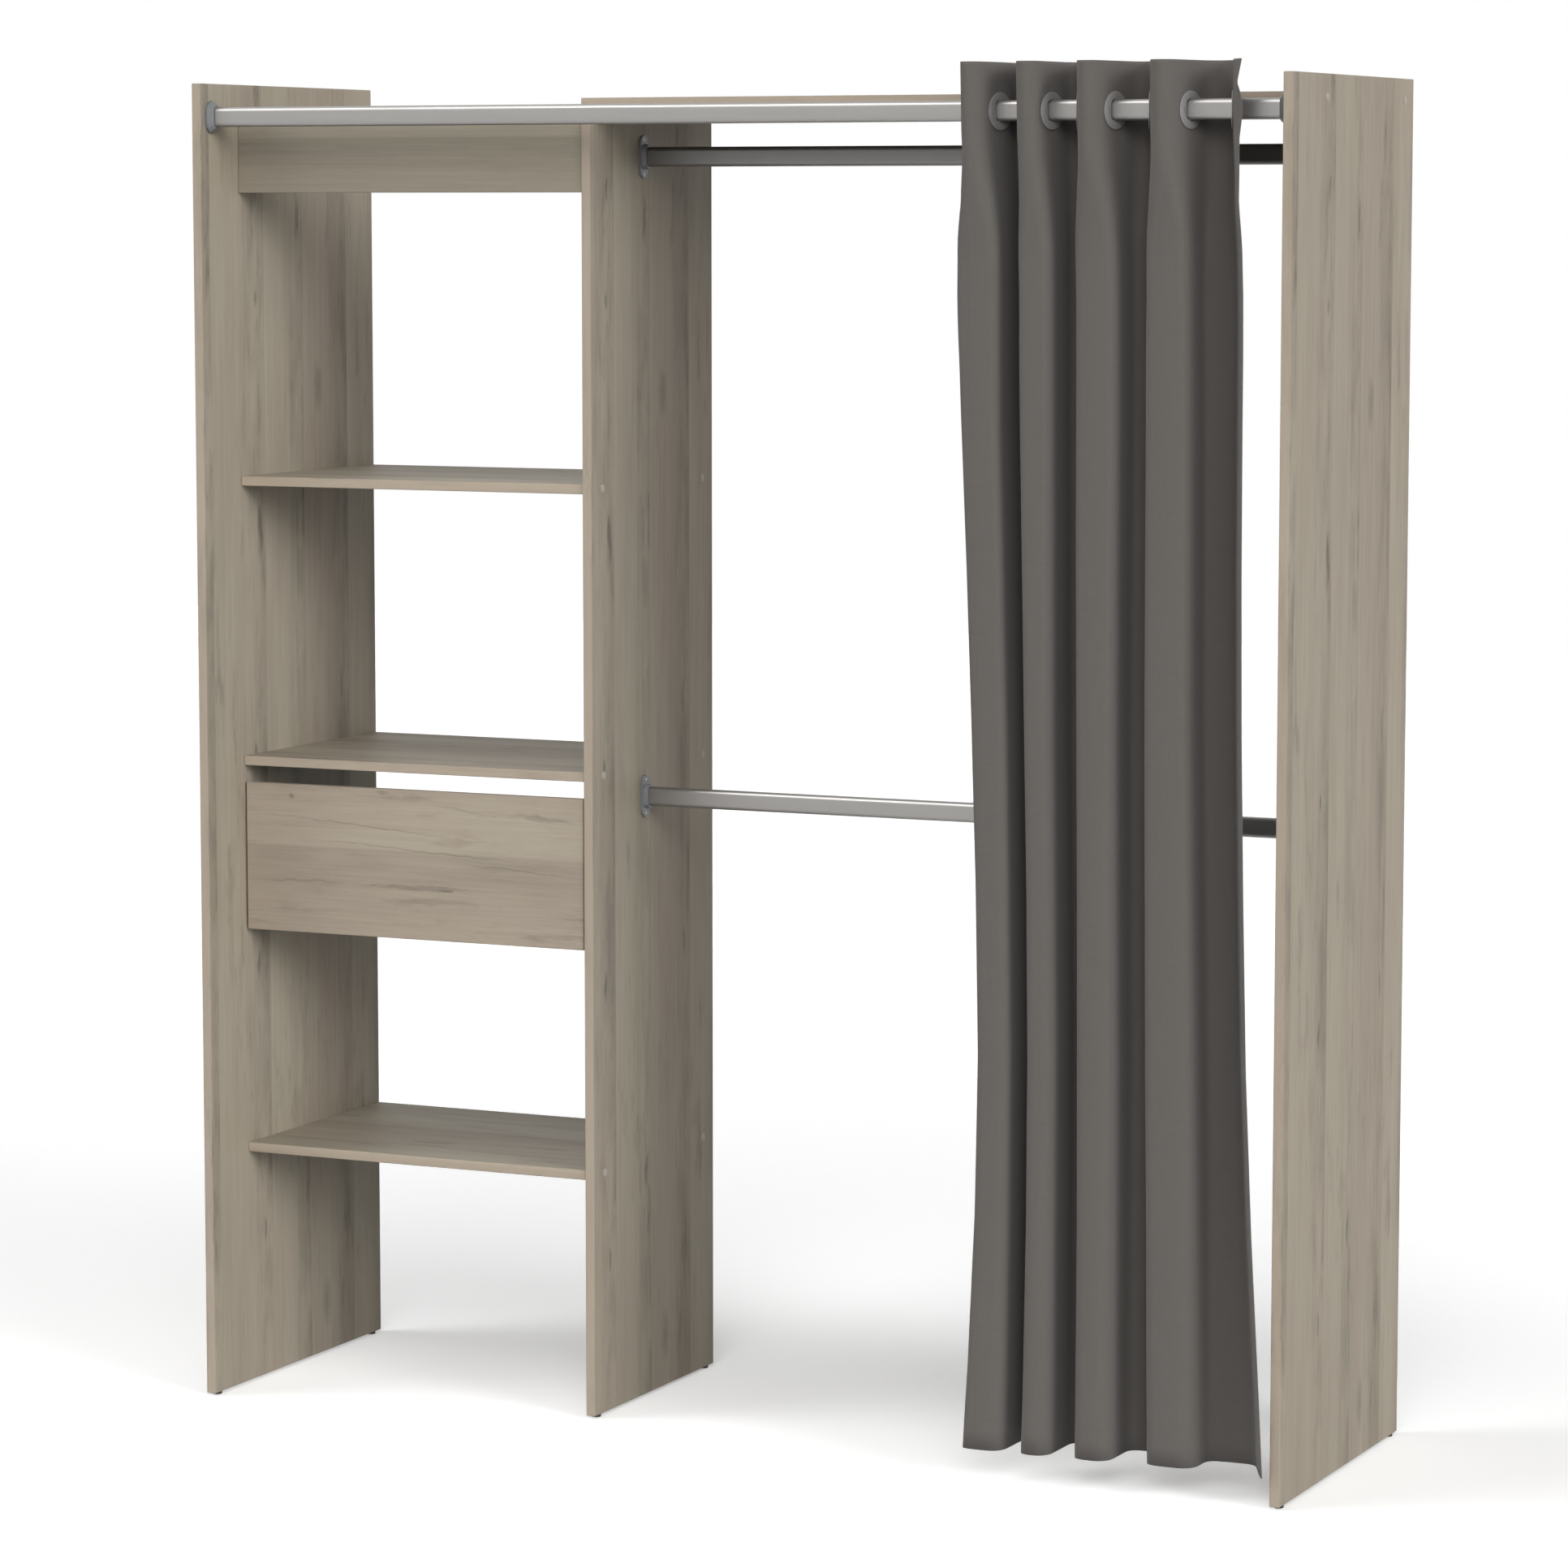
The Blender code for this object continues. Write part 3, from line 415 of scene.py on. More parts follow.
def grain_group():
    """Oak decor: planks side by side, each darker towards one edge, with fibres and smudges.

    Position runs along the grain on Z and across it on X plus Y. A ramp holds the planks,
    and everything else is noise that is stretched along Z.
    """
    amounts = [(label, "Float", 1.0) for label in ("Fibre", "Smudge", "Band")]
    inputs = (("Position", "Vector", None), ("Seed", "Float", 0.0), *amounts)
    group, given, result = new_group("oak_grain", inputs, ("Tone", "Hue", "Height"))
    shift = combine(given["Seed"] * 0.317, 0.0, given["Seed"] * 5.31)
    moved = add_node("ShaderNodeVectorMath", {0: given["Position"], 1: shift}, operation="ADD")[0]
    x, y, z = split(moved)
    progress, plank_tone, plank_hue = plank_ramp(x + y)
    bend = (stretched_noise(moved, (3.0, 3.0, 0.8), 1.0) - 0.5) * 0.035
    own = combine(x + bend, y + bend, plank_tone * 31.0 + z)
    patch = remap(stretched_noise(own, (6.0, 6.0, 1.9)), 0.38, 0.62)
    blotch = remap(stretched_noise(own, (36.0, 36.0, 8.0), 4.0, 0.65), 0.40, 0.68)
    band = remap(progress, 0.45, 0.93) * (blotch * 0.55 + patch * 0.50) * given["Band"]
    fibre = stretched_noise(own, (330.0, 330.0, 7.0), 3.0, 0.6)
    streak = stretched_noise(own, (95.0, 95.0, 1.6), 3.0, 0.6) - 0.5
    cloud = stretched_noise(own, (12.0, 12.0, 1.8), 3.0, 0.6) - 0.5
    cluster = remap(stretched_noise(own, (9.0, 9.0, 1.6), 2.0), 0.46, 0.62)
    smudge = remap(stretched_noise(own, (44.0, 44.0, 7.0), 5.0, 0.68), 0.50, 0.70)
    smudge = smudge * (cluster * 0.85 + 0.15)
    pores = remap(stretched_noise(own, (800.0, 800.0, 26.0), 2.0, 0.5), 0.58, 0.76)
    fine = pores * -0.14 + streak * 0.36 + (fibre - 0.5) * 0.42
    tone = fine * given["Fibre"] + (plank_tone - 0.55) * 0.8 + cloud * 0.45
    tone = tone - (smudge * given["Smudge"] * 0.42 + band * 0.52)
    lead(tone.calc("ADD", 0.74, clamp=True), result["Tone"])
    hue = cloud * -2.2 + plank_hue
    lead((smudge * 0.5).calc("ADD", hue, clamp=True), result["Hue"])
    lead(pores * -0.6 + fibre * 0.4, result["Height"])
    return group


def mark_group():
    """A knot or stroke of the decor: 1 in the middle of an ellipse with a ragged edge.

    Place holds its middle across and along the grain, Size its half width, half length and tilt.
    """
    inputs = [(label, "Vector", None) for label in ("Position", "Place", "Size")]
    group, given, result = new_group("decor_mark", inputs, ("Mask",))
    (x, y, z), place, (half_width, half_length, tilt) = (split(given[label]) for label, _, _ in inputs)
    along = z - place[1]
    wobble = stretched_noise(given["Position"], (20.0, 20.0, 22.0), 2.0) - 0.5
    across = x + y - place[0] - along * tilt + wobble * 0.010
    squares = [part * part for part in (across / half_width, along / half_length)]
    ragged = stretched_noise(given["Position"], (300.0, 300.0, 60.0), 3.0, 0.7) - 0.5
    distance = ragged * 1.6 + (squares[0] + squares[1]).calc("SQRT")
    lead(remap(distance, 0.25, 1.2, 1.0, 0.0), result["Mask"])
    return group


def weave_group():
    """Plain weave: warp and weft threads that go over and under by turns, on U and V in metres."""
    inputs = (("Position", "Vector", None), ("Thread", "Float", 0.0006))
    group, given, result = new_group("plain_weave", inputs, ("Height", "Slub"))
    where = given["Position"]
    u, v, _ = split(where)
    waves = [(axis / given["Thread"] * math.pi).calc("SINE") for axis in (u, v)]
    lead(waves[0] * waves[1] * 0.5 + 0.5, result["Height"])
    slubs = [stretched_noise(where, scale, 2.0) for scale in ((900.0, 18.0, 1.0), (18.0, 900.0, 1.0))]
    lead((slubs[0] + slubs[1]) * 0.5, result["Slub"])
    return group


def brushed_group():
    """Fine scratches that run along one axis, given by the scale of the noise."""
    inputs = (("Position", "Vector", None), ("Scale", "Vector", (8.0, 900.0, 900.0)))
    group, given, result = new_group("brushed", inputs, ("Mask", "Cloud"))
    lead(stretched_noise(given["Position"], given["Scale"], 2.0), result["Mask"])
    lead(stretched_noise(given["Position"], (14.0, 14.0, 14.0), 2.0), result["Cloud"])
    return group


def new_material(name, colour, values):
    """A material with constant values on its Principled shader, and that shader's sockets."""
    material = bpy.data.materials.new(name)
    material.use_nodes = True
    sockets = material.node_tree.nodes["Principled BSDF"].inputs
    for key, value in {"Base Color": (*colour, 1.0), **values}.items():
        sockets[key].default_value = value
    material.diffuse_color = (*colour, 1.0)
    return material, sockets


def own_place(material):
    """Object coordinates in a material."""
    return add_node("ShaderNodeTexCoord", tree=material.node_tree)["Object"]


def place_group(group, where, **inputs):
    """A node group in a material, with its inputs set or led to."""
    return add_node("ShaderNodeGroup", {"Position": where, **inputs}, where.tree, node_tree=group)


def add_bump(sockets, height, distance, strength):
    """Bump from a height on a shader."""
    inputs = {"Height": height, "Distance": distance, "Strength": strength}
    lead(add_node("ShaderNodeBump", inputs)[0], sockets["Normal"])


def scaled(colour, factor):
    """A colour made lighter or darker, as a socket value."""
    return (*(min(1.0, part * factor) for part in colour), 1.0)


def board_material(name, groups, settings, order, face_axis, seed, look, marks=(), rim=1.0):
    """Oak decor for one board.

    order lists the axis through the board, the axis across and the axis along the grain,
    look the decor's brightness, fibre, smudge, band and warmth, and rim brightens its edge bands, painted
    light where above 1.
    """
    material, sockets = new_material(f"{name}_decor", settings.light, {"Specular IOR Level": 0.30})
    axes = split(own_place(material))
    through = axes[order[0]] - float(box_centre(name)[order[0]])
    position = combine(through, axes[order[1]], axes[order[2]])
    level, fibre, smudge, band, warmth = look
    values = {"Fibre": fibre, "Smudge": smudge * settings.contrast, "Band": band * settings.contrast}
    grain = place_group(groups[0], position, Seed=seed, **values)
    tone = grain["Tone"]
    for *lengths, tilt, strength in marks:
        across, along, width, length = (value / 1000 for value in lengths)
        given = {"Place": (across, along, 0.0), "Size": (width, length, tilt)}
        mark = place_group(groups[1], position, **given)["Mask"]
        tone = (mark * (-0.55 * strength)).calc("ADD", tone, clamp=True)
    face = mix_colour(tone, scaled(settings.dark, level), scaled(settings.light, level))
    warm = mix_colour(1.0, face, (1.035, 0.985, 0.985, 1.0), "MULTIPLY")
    green = mix_colour(1.0, face, (0.980, 1.0, 0.980, 1.0), "MULTIPLY")
    face = mix_colour(grain["Hue"].calc("ADD", warmth, clamp=True), green, warm)
    edge = mix_colour(tone, *(scaled(settings.edge, share * level * rim) for share in (0.72, 1.10)))
    facing = split(add_node("ShaderNodeNewGeometry", tree=material.node_tree)["Normal"])[face_axis]
    is_edge = remap(facing.calc("ABSOLUTE"), 0.4, 0.6, 1.0, 0.0)
    lead(mix_colour(is_edge, face, edge), sockets["Base Color"])
    lead(remap(tone, 0.0, 1.0, 0.66, 0.56, smooth=False), sockets["Roughness"])
    add_bump(sockets, grain["Height"], 0.0001, 0.5)
    return material


def metal_material(name, colour, group, scale, roughness, metallic=1.0):
    """Satin metal or paint: scratches and soft clouds in its roughness, and a little in its colour."""
    material, sockets = new_material(name, colour, {"Metallic": metallic})
    marks = place_group(group, own_place(material), Scale=scale)
    spread = 0.06
    rough = remap(marks["Mask"], 0.3, 0.7, roughness - spread, roughness + spread, smooth=False)
    lead((marks["Cloud"] - 0.5) * spread + rough, sockets["Roughness"])
    lead(mix_colour(marks["Mask"], scaled(colour, 0.93), scaled(colour, 1.07)), sockets["Base Color"])
    add_bump(sockets, marks["Mask"], 0.00003, 0.3)
    return material


def speckled_material(name, colour, dark, light, grain, roughness, spread=0.0, bump=(), detail=2.0):
    """Coated, moulded or pressed stuff: a fine even speck in its colour, its roughness and its bump."""
    material, sockets = new_material(name, colour, {"Roughness": roughness})
    speck = stretched_noise(own_place(material), (grain, grain, grain), detail)
    lead(mix_colour(speck, dark, light), sockets["Base Color"])
    if spread:
        lead(remap(speck, 0.3, 0.7, roughness - spread, roughness + spread), sockets["Roughness"])
    if bump:
        add_bump(sockets, speck, *bump)
    return material


def dress_node(name, material):
    """A finish on a CAD node, which keeps its own slot in the record."""
    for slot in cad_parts[name].material_slots:
        slot.material = material


def add_object(name, data):
    """A new object in the scene."""
    thing = bpy.data.objects.new(name, data)
    bpy.context.scene.collection.objects.link(thing)
    return thing


def grid_mesh(name, *grids, wrap_rows=False, wrap_columns=False, keep=None, uv=None, sharp=None):
    """A smooth mesh of quads over rows by columns by 3 arrays, joined round where they wrap.

    keep is a mask of the quads that stay, uv a rows by columns by 2 array with places on
    the flat cloth, and sharp the angle in degrees from which an edge is sharp.
    """
    faces, count = [], 0
    for grid in grids:
        rows, columns = grid.shape[:2]
        index = count + np.arange(rows * columns).reshape(rows, columns)
        count += rows * columns
        if wrap_rows:
            index = np.vstack([index, index[:1]])
        if wrap_columns:
            index = np.hstack([index, index[:, :1]])
        quads = np.stack([index[:-1, :-1], index[:-1, 1:], index[1:, 1:], index[1:, :-1]], axis=-1)
        faces.append(quads[keep] if keep is not None else quads.reshape(-1, 4))
    used, corners = np.unique(np.vstack(faces), return_inverse=True)
    corners = corners.ravel().astype(np.int32)
    flat = np.vstack([grid.reshape(-1, 3) for grid in grids])[used]
    mesh = bpy.data.meshes.new(name)
    mesh.vertices.add(len(flat))
    mesh.vertices.foreach_set("co", flat.astype(np.float32).ravel())
    mesh.loops.add(corners.size)
    mesh.loops.foreach_set("vertex_index", corners)
    mesh.polygons.add(corners.size // 4)
    mesh.polygons.foreach_set("loop_start", np.arange(0, corners.size, 4, dtype=np.int32))
    if uv is not None:
        layer = mesh.uv_layers.new(name="cloth")
        layer.data.foreach_set("uv", uv.reshape(-1, 2)[used][corners].astype(np.float32).ravel())
    mesh.update(calc_edges=True)
    mesh.validate()
    mesh.shade_smooth()
    if sharp:
        mesh.set_sharp_from_angle(angle=math.radians(sharp))
    return mesh


def new_piece(name, mesh, material, body, replaced=()):
    """A finished piece that rides on a body and the nodes that it stands for."""
    piece = add_object(name, mesh)
    mesh.materials.append(material)
    if body:
        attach(piece, body)
    if replaced:
        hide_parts(*replaced)
    return piece


def turned_points(profile, sides):
    """A profile of (along, radius) pairs carried round the X axis by cosine and sine."""
    along, radius = np.array(profile, float).T
    angle = np.linspace(0.0, math.tau, sides, endpoint=False)
    x = np.broadcast_to(along[:, None], (len(along), sides))
    return np.stack([x, radius[:, None] * np.cos(angle), radius[:, None] * np.sin(angle)], axis=-1)


def arc(centre, radius, start, end, steps):
    """Points on part of a circle, as (along, radius) pairs, with angles in degrees."""
    angles = np.radians(np.linspace(start, end, steps))
    return [(centre[0] + radius * math.cos(a), centre[1] + radius * math.sin(a)) for a in angles]


def smooth_share(value, low, high):
    """Smooth step from 0 at low to 1 at high."""
    share = np.clip((value - low) / (high - low), 0.0, 1.0)
    return share * share * (3.0 - 2.0 * share)


def fold_angle(along, lengths, angles, bends):
    """Direction along a fold: first flank, slightly round face and second flank.

    Each turn is a smooth step of the distance along the cloth, centred on its corner, and
    a seventh of the second turn is spread over the face.
    """
    first, face = lengths[0], lengths[1]
    turn = smooth_share(along, first - bends[0], first + bends[0])
    back = smooth_share(along, first + face - bends[1], first + face + bends[1])
    swell = smooth_share(along, first, first + np.maximum(face, 0.01))
    back = 0.86 * back + 0.14 * swell
    return angles[0] + (angles[1] - angles[0]) * turn + (angles[2] - angles[1]) * back


def solve_fold(along, width, step, advance, angles, bends):
    """Angles along a fold that goes forward by its advance and comes back to the rod.

    The lengths of flank, face and flank solve three linear equations: the way forward, the
    way back to the rod and the cloth's own length. A few rounds take out what the turns add.
    """
    rows = advance.shape[0]
    matrix = np.stack([np.stack([np.cos(a), np.sin(a), np.ones(rows)], axis=-1) for a in angles], axis=-1)
    wanted = np.stack([advance, np.zeros(rows), np.full(rows, width)], axis=-1)
    for _ in range(5):
        lengths = np.linalg.solve(matrix, wanted[..., None])[..., 0].T[..., None]
        angle = fold_angle(along, lengths, [a[:, None] for a in angles], [b[:, None] for b in bends])
        wanted[:, 0] += 0.8 * (advance - np.cos(angle).sum(axis=1) * step)
        wanted[:, 1] -= 0.8 * np.sin(angle).sum(axis=1) * step
    return angle


def cloth_plan(depths, samples):
    """Plan places of the cloth for each depth below its top, at evenly spaced samples across.

    Each row is a path made from its direction: straight flanks through the eyelets, and
    between them folds with a flat face. At the rod the flanks lean and the folds are round;
    below it the flanks stand square and the turns get tighter.
    """
    step = CURTAIN_WIDTH / (samples - 1)
    drop = np.clip((depths - RING_ZONE) / (CURTAIN_LENGTH - RING_ZONE), 0.0, 1.0)[:, None]
    at_rod, at_hem = TOP_PLACE_SHARES * GATHERED_WIDTH, HEM_PLACE_SHARES * HEM_WIDTH + HEM_SHIFT
    places = at_rod * (1 - drop) + at_hem * drop
    places = places + np.stack([np.interp(depths, DEPTHS, shifts) for shifts in CORNER_SHIFTS], axis=-1)
    below = smooth_share(depths, 0.105, 0.27)
    back = BACKWARD_ANGLE + math.radians(14.0) * below
    forth = FORWARD_ANGLE - math.radians(17.0) * below
    wide = np.interp(depths, (0.095, 0.20, 0.28, 0.6, 1.5, 2.0), (0.021, 0.015, 0.010, 0.009, 0.011, 0.017))
    marks = (0.095, 0.20, 0.28, 0.6, 1.0, 1.5, 2.0)
    tight = np.interp(depths, marks, (0.021, 0.013, 0.0075, 0.0065, 0.0085, 0.013, 0.023))
    face = np.radians(np.interp(depths, (0.0, 0.3, 2.0), (0.0, -7.0, -8.0)))
    free_forth = FORWARD_ANGLE + math.radians(5.0) * below
    columns = int(round(EYELET_SPACING / step))
    along = (np.arange(columns) + 0.5)[None, :] * step
    parts = [leading_angle(depths, step, back, forth, face, wide, tight)]
    for number in range(7):
        advance = places[:, number + 1] - places[:, number]
        short = np.clip((SHORT_FOLD - advance) / SHORT_RANGE, 0.0, 1.0) * (1.0 - below)
        steep_back, steep_forth = back + math.radians(11.0) * short, forth - math.radians(14.0) * short
        bend_in, bend_out = wide - 0.006 * short, (tight if number % 2 else wide) - 0.006 * short
        steep_forth = free_forth if number == 6 else steep_forth
        angles = (steep_forth, face, steep_back) if number % 2 else (steep_back, -face, steep_forth)
        bends = (bend_in, bend_out)
        parts.append(solve_fold(along, EYELET_SPACING, step, advance, angles, bends))
    parts.append(trailing_part(depths, step, free_forth))
    angle = np.concatenate(parts, axis=1)
    x = np.pad(np.cumsum(np.cos(angle), axis=1) * step, ((0, 0), (1, 0)))
    y = np.pad(np.cumsum(np.sin(angle), axis=1) * step, ((0, 0), (1, 0)))
    return correct_plan(x, y, places, step)


def leading_angle(depths, step, back, forth, face, wide, tight):
    """Directions along the first flap: the free edge, a short flank, a face and the flank to the rod."""
    along = (np.arange(int(round(LEADING_FLAP / step))) + 0.5)[None, :] * step
    last = np.interp(depths, (0.0, 0.105, 0.27), (0.055, 0.055, 0.044))
    reach = np.interp(depths, DEPTHS, LEADING_REACHES) - last * np.cos(back)
    rest = LEADING_FLAP - last
    middle = (reach - rest * np.cos(forth)) / (np.cos(face) - np.cos(forth))
    lengths = [length[:, None] for length in (rest - middle, middle)]
    angles = [a[:, None] for a in (forth, face, back)]
    return fold_angle(along, lengths, angles, [wide[:, None] * 0.6, tight[:, None]])


def trailing_part(depths, step, forth):
    """Directions along the last flap: straight on from the flank, but flicked out at the top."""
    along = (np.arange(int(round(TRAILING_FLAP / step))) + 0.5)[None, :] * step
    turn = smooth_share(along, 0.020, 0.036)
    marks = (0.0, 0.033, 0.053, 0.075, 0.11, 0.20, 2.0)
    outward = np.interp(depths, marks, np.radians((-42.0, -60.0, -42.0, -38.0, -50.0, -62.0, -62.0)))
    return forth[:, None] + (outward[:, None] - forth[:, None]) * turn


def correct_plan(x, y, places, step):
    """Shift each row evenly between its eyelets, so that they lie on the rod at their places."""
    marks = LEADING_FLAP + EYELET_SPACING * np.arange(8)
    columns = np.rint(marks / step).astype(int)
    place = np.clip((np.arange(x.shape[1]) * step - marks[0]) / EYELET_SPACING, 0.0, 7.0)
    weights = np.clip(1.0 - np.abs(place[:, None] - np.arange(8)[None, :]), 0.0, 1.0)
    x = x + (places - x[:, columns]) @ weights.T
    y = y - y[:, columns] @ weights.T
    return x + FIRST_EYELET[0], y + ROD_CENTRE[1]


def round_holes(across, down, centre_down):
    """Move the grid near each eyelet so that a square of it becomes a circle.

    A point's distance is scaled by its square distance over its round distance, fully at
    the hole and not at all past 34 mm.
    """
    number = np.clip(np.rint((across - LEADING_FLAP) / EYELET_SPACING), 0, 7)
    du = across - (LEADING_FLAP + number * EYELET_SPACING)
    dv = down - centre_down
    square = np.maximum(np.abs(du), np.abs(dv))
    distance = np.maximum(np.hypot(du, dv), 1e-9)
    weight = 1.0 - smooth_share(square, CLOTH_HOLE, 0.034)
    factor = 1.0 + (square / distance - 1.0) * weight
    return across + du * (factor - 1.0), down + dv * (factor - 1.0), square


def lie_flat(x, y, across, below):
    """Lay the cloth flat under each eyelet, square to its axis, and let it go again past its rim."""
    number = np.clip(np.rint((across - LEADING_FLAP) / EYELET_SPACING), 0, 7).astype(int)
    along = across - (LEADING_FLAP + number * EYELET_SPACING)
    angle = np.where(number % 2, FORWARD_ANGLE, BACKWARD_ANGLE)
    places = np.array([box_centre(name)[0] for name in EYELETS])[number]
    weight = 1.0 - smooth_share(np.hypot(along, below), 0.028, 0.046)
    flat_x, flat_y = places + along * np.cos(angle), ROD_CENTRE[1] + along * np.sin(angle)
    return x + (flat_x - x) * weight, y + (flat_y - y) * weight


def cloth_mesh():
    """The hanging cloth: plan(across, depth) and its depth below the top, with round eyelet holes.

    The grid is 2.5 mm wide; its rows are 5 mm high by the eyelets and 29 mm from 0.30 m down.
    """
    centre_down = CURTAIN_TOP - FIRST_EYELET[2]
    columns, samples = 410, 2051
    step = CURTAIN_WIDTH / columns
    hanging = np.linspace(0.30, CURTAIN_LENGTH, 60)
    near = centre_down + 0.005 * np.arange(-8, 9)
    above = np.linspace(0.0, near[0], 7)[:-1]
    below = np.linspace(near[-1], 0.30, 12)[1:-1]
    depths = np.concatenate([above, near, below, hanging])
    across, down = np.meshgrid(step * np.arange(columns + 1), depths)
    moved_across, moved_down, square = round_holes(across, down, centre_down)
    fine_depths = np.concatenate([np.linspace(0.0, 0.30, 61), hanging[1:]])
    plan_x, plan_y = cloth_plan(fine_depths, samples)
    column = np.clip(moved_across / CURTAIN_WIDTH * (samples - 1), 0, samples - 1.001)
    row = np.interp(moved_down, fine_depths, np.arange(len(fine_depths)))
    row = np.clip(row, 0, len(fine_depths) - 1.001)
    c, r = column.astype(int), row.astype(int)
    fc, fr = column - c, row - r

    def sample(table):
        top = table[r, c] * (1 - fc) + table[r, c + 1] * fc
        bottom = table[r + 1, c] * (1 - fc) + table[r + 1, c + 1] * fc
        return top * (1 - fr) + bottom * fr

    x, y = sample(plan_x), sample(plan_y)
    x, y = lie_flat(x, y, moved_across, moved_down - centre_down)
    points = np.stack([x, y, CURTAIN_TOP - moved_down], axis=-1)
    corners = square[:-1, :-1], square[1:, 1:], square[:-1, 1:], square[1:, :-1]
    keep = np.max(corners, axis=0) > CLOTH_HOLE + 0.0001
    uv = np.stack([moved_across, CURTAIN_LENGTH - moved_down], axis=-1)
    return grid_mesh("curtain_cloth", points, keep=keep, uv=uv)


def cloth_material(settings):
    """Plain woven cloth: threads, slubs, soft sheen and a line of stitches inside each hem."""
    values = {"Roughness": 0.92, "Specular IOR Level": 0.2, "Sheen Weight": 0.12, "Sheen Roughness": 0.6}
    material, sockets = new_material("curtain_weave", settings.colour, values)
    where = add_node("ShaderNodeUVMap", tree=material.node_tree, uv_map="cloth")[0]
    weave = place_group(weave_group(), where, Thread=settings.thread)
    tone = remap(weave["Slub"], 0.3, 0.7, 0.93, 1.07, smooth=False)
    tone = tone * remap(weave["Height"], 0.0, 1.0, 0.97, 1.02, smooth=False)
    axes = split(where)
    top, side = CURTAIN_LENGTH - HEADER_HEIGHT, CURTAIN_WIDTH - SIDE_HEM
    hems = ((1, HEM_HEIGHT), (1, top), (0, SIDE_HEM), (0, side))
    stitches = stitch_line(axes, *hems[0])
    for axis, place in hems[1:]:
        stitches = stitches.calc("MAXIMUM", stitch_line(axes, axis, place))
    tone = stitches * -0.12 + tone
    colour = add_node("ShaderNodeVectorMath", {0: settings.colour, "Scale": tone}, operation="SCALE")[0]
    lead(colour, sockets["Base Color"])
    add_bump(sockets, stitches * 1.5 + weave["Height"], 0.00012, 0.5)
    return material


def stitch_line(axes, axis, place):
    """A dashed line of stitches across one axis of the cloth."""
    line = remap((axes[axis] - place).calc("ABSOLUTE"), 0.0003, 0.0006, 1.0, 0.0)
    dash = (axes[1 - axis] * (math.tau / STITCH_LENGTH)).calc("SINE")
    return line * remap(dash, -0.6, -0.2)


def flat_places(piece):
    """Where each point lies on the flat cloth: across it, and up from its hem."""
    places = np.zeros(len(piece.data.loops) * 2, np.float32)
    piece.data.uv_layers[0].data.foreach_get("uv", places)
    vertex = np.zeros(len(piece.data.loops), np.int32)
    piece.data.loops.foreach_get("vertex_index", vertex)
    uv = np.zeros((len(piece.data.vertices), 2))
    uv[vertex] = places.reshape(-1, 2)
    return uv


def band_weights(piece):
    """A vertex group that is 1 at the hems and the header, and lower where the cloth is single."""
    uv = flat_places(piece)
    side = (uv[:, 0] < SIDE_HEM) | (uv[:, 0] > CURTAIN_WIDTH - SIDE_HEM)
    double = side | (uv[:, 1] < HEM_HEIGHT) | (uv[:, 1] > CURTAIN_LENGTH - HEADER_HEIGHT)
    group = piece.vertex_groups.new(name="hems")
    group.add(np.flatnonzero(double).tolist(), 1.0, "REPLACE")
    group.add(np.flatnonzero(~double).tolist(), 0.0, "REPLACE")
    return group.name


def follow_eyelets(piece):
    """Shares from the eyelets' places and smooth steps between each two eyelets along the flat
    cloth, worked out and then left unused: the cloth is not changed.
    """
    centres = np.array([box_centre(name)[0] for name in EYELETS])
    way = (centres - centres[-1]) / (centres[0] - centres[-1])
    shares = smooth_share(way, 0.0, 1.0)
    place = (flat_places(piece)[:, 0] - LEADING_FLAP) / EYELET_SPACING
    steps = smooth_share(place[:, None] - np.arange(7), 0.27, 0.73)


class WARDROBE_OT_boards(bpy.types.Operator):
    """Oak decor on the boards, each with its own run of grain."""

    bl_idname = "wardrobe.boards"
    bl_label = "Boards"

    def execute(self, context):
        settings = context.scene.wardrobe_boards
        groups = grain_group(), mark_group()
        # Brightness, fibre, smudge, band and warmth of the decor; the flat boards' lower brightness is
        # painted shade for the shelves' tops
        upright, flat = (1.01, 1.0, 1.0, 1.0, 0.1), (0.96, 1.0, 0.8, 0.6, 0.1)
        plans = [(name, (0, 1, 2), 0, 0.0, upright, UPRIGHT_MARKS) for name in UPRIGHTS]
        plans += [(name, (2, 1, 0), 2, 3.0 + number, flat, ()) for number, name in enumerate(SHELVES)]
        plans += [
            ("top_rail", (1, 2, 0), 1, 8.0, (0.92, 0.9, 0.5, 0.3, -0.6), ()),
            ("drawer_front", (1, 2, 0), 1, 9.0, (1.02, 0.9, 0.8, 0.4, 0.4), DRAWER_MARKS),
            ("drawer_back", (1, 2, 0), 1, 10.0, flat, ()),
        ]
        plans += [(name, (0, 2, 1), 0, 11.0 + number, flat, ()) for number, name in enumerate(DRAWER_SIDES)]
        for name, *plan in plans:
            # The shelves' edge bands are brightened as painted light on their front edges
            rim = 1.14 if name in SHELVES else 1.0
            dress_node(name, board_material(name, groups, settings, *plan, rim))
        dark, light, bump = (0.40, 0.35, 0.28, 1.0), (0.58, 0.54, 0.47, 1.0), (0.0001, 0.4)
        colour, grain, roughness = (0.50, 0.46, 0.40), 260.0, 0.75
        hardboard = speckled_material("hardboard_face", colour, dark, light, grain, roughness, 0.0, bump, 3.0)
        dress_node("drawer_bottom", hardboard)
        return {"FINISHED"}


def oval_outline(width, height, steps):
    """Closed outline of an upright oval with straight sides, as a points by 2 array of y and z."""
    radius = width / 2
    angle = np.linspace(0.0, math.pi, steps)
    straight = height / 2 - radius
    top = np.stack([radius * np.cos(angle), straight + radius * np.sin(angle)], axis=-1)
    return np.vstack([top, -top])


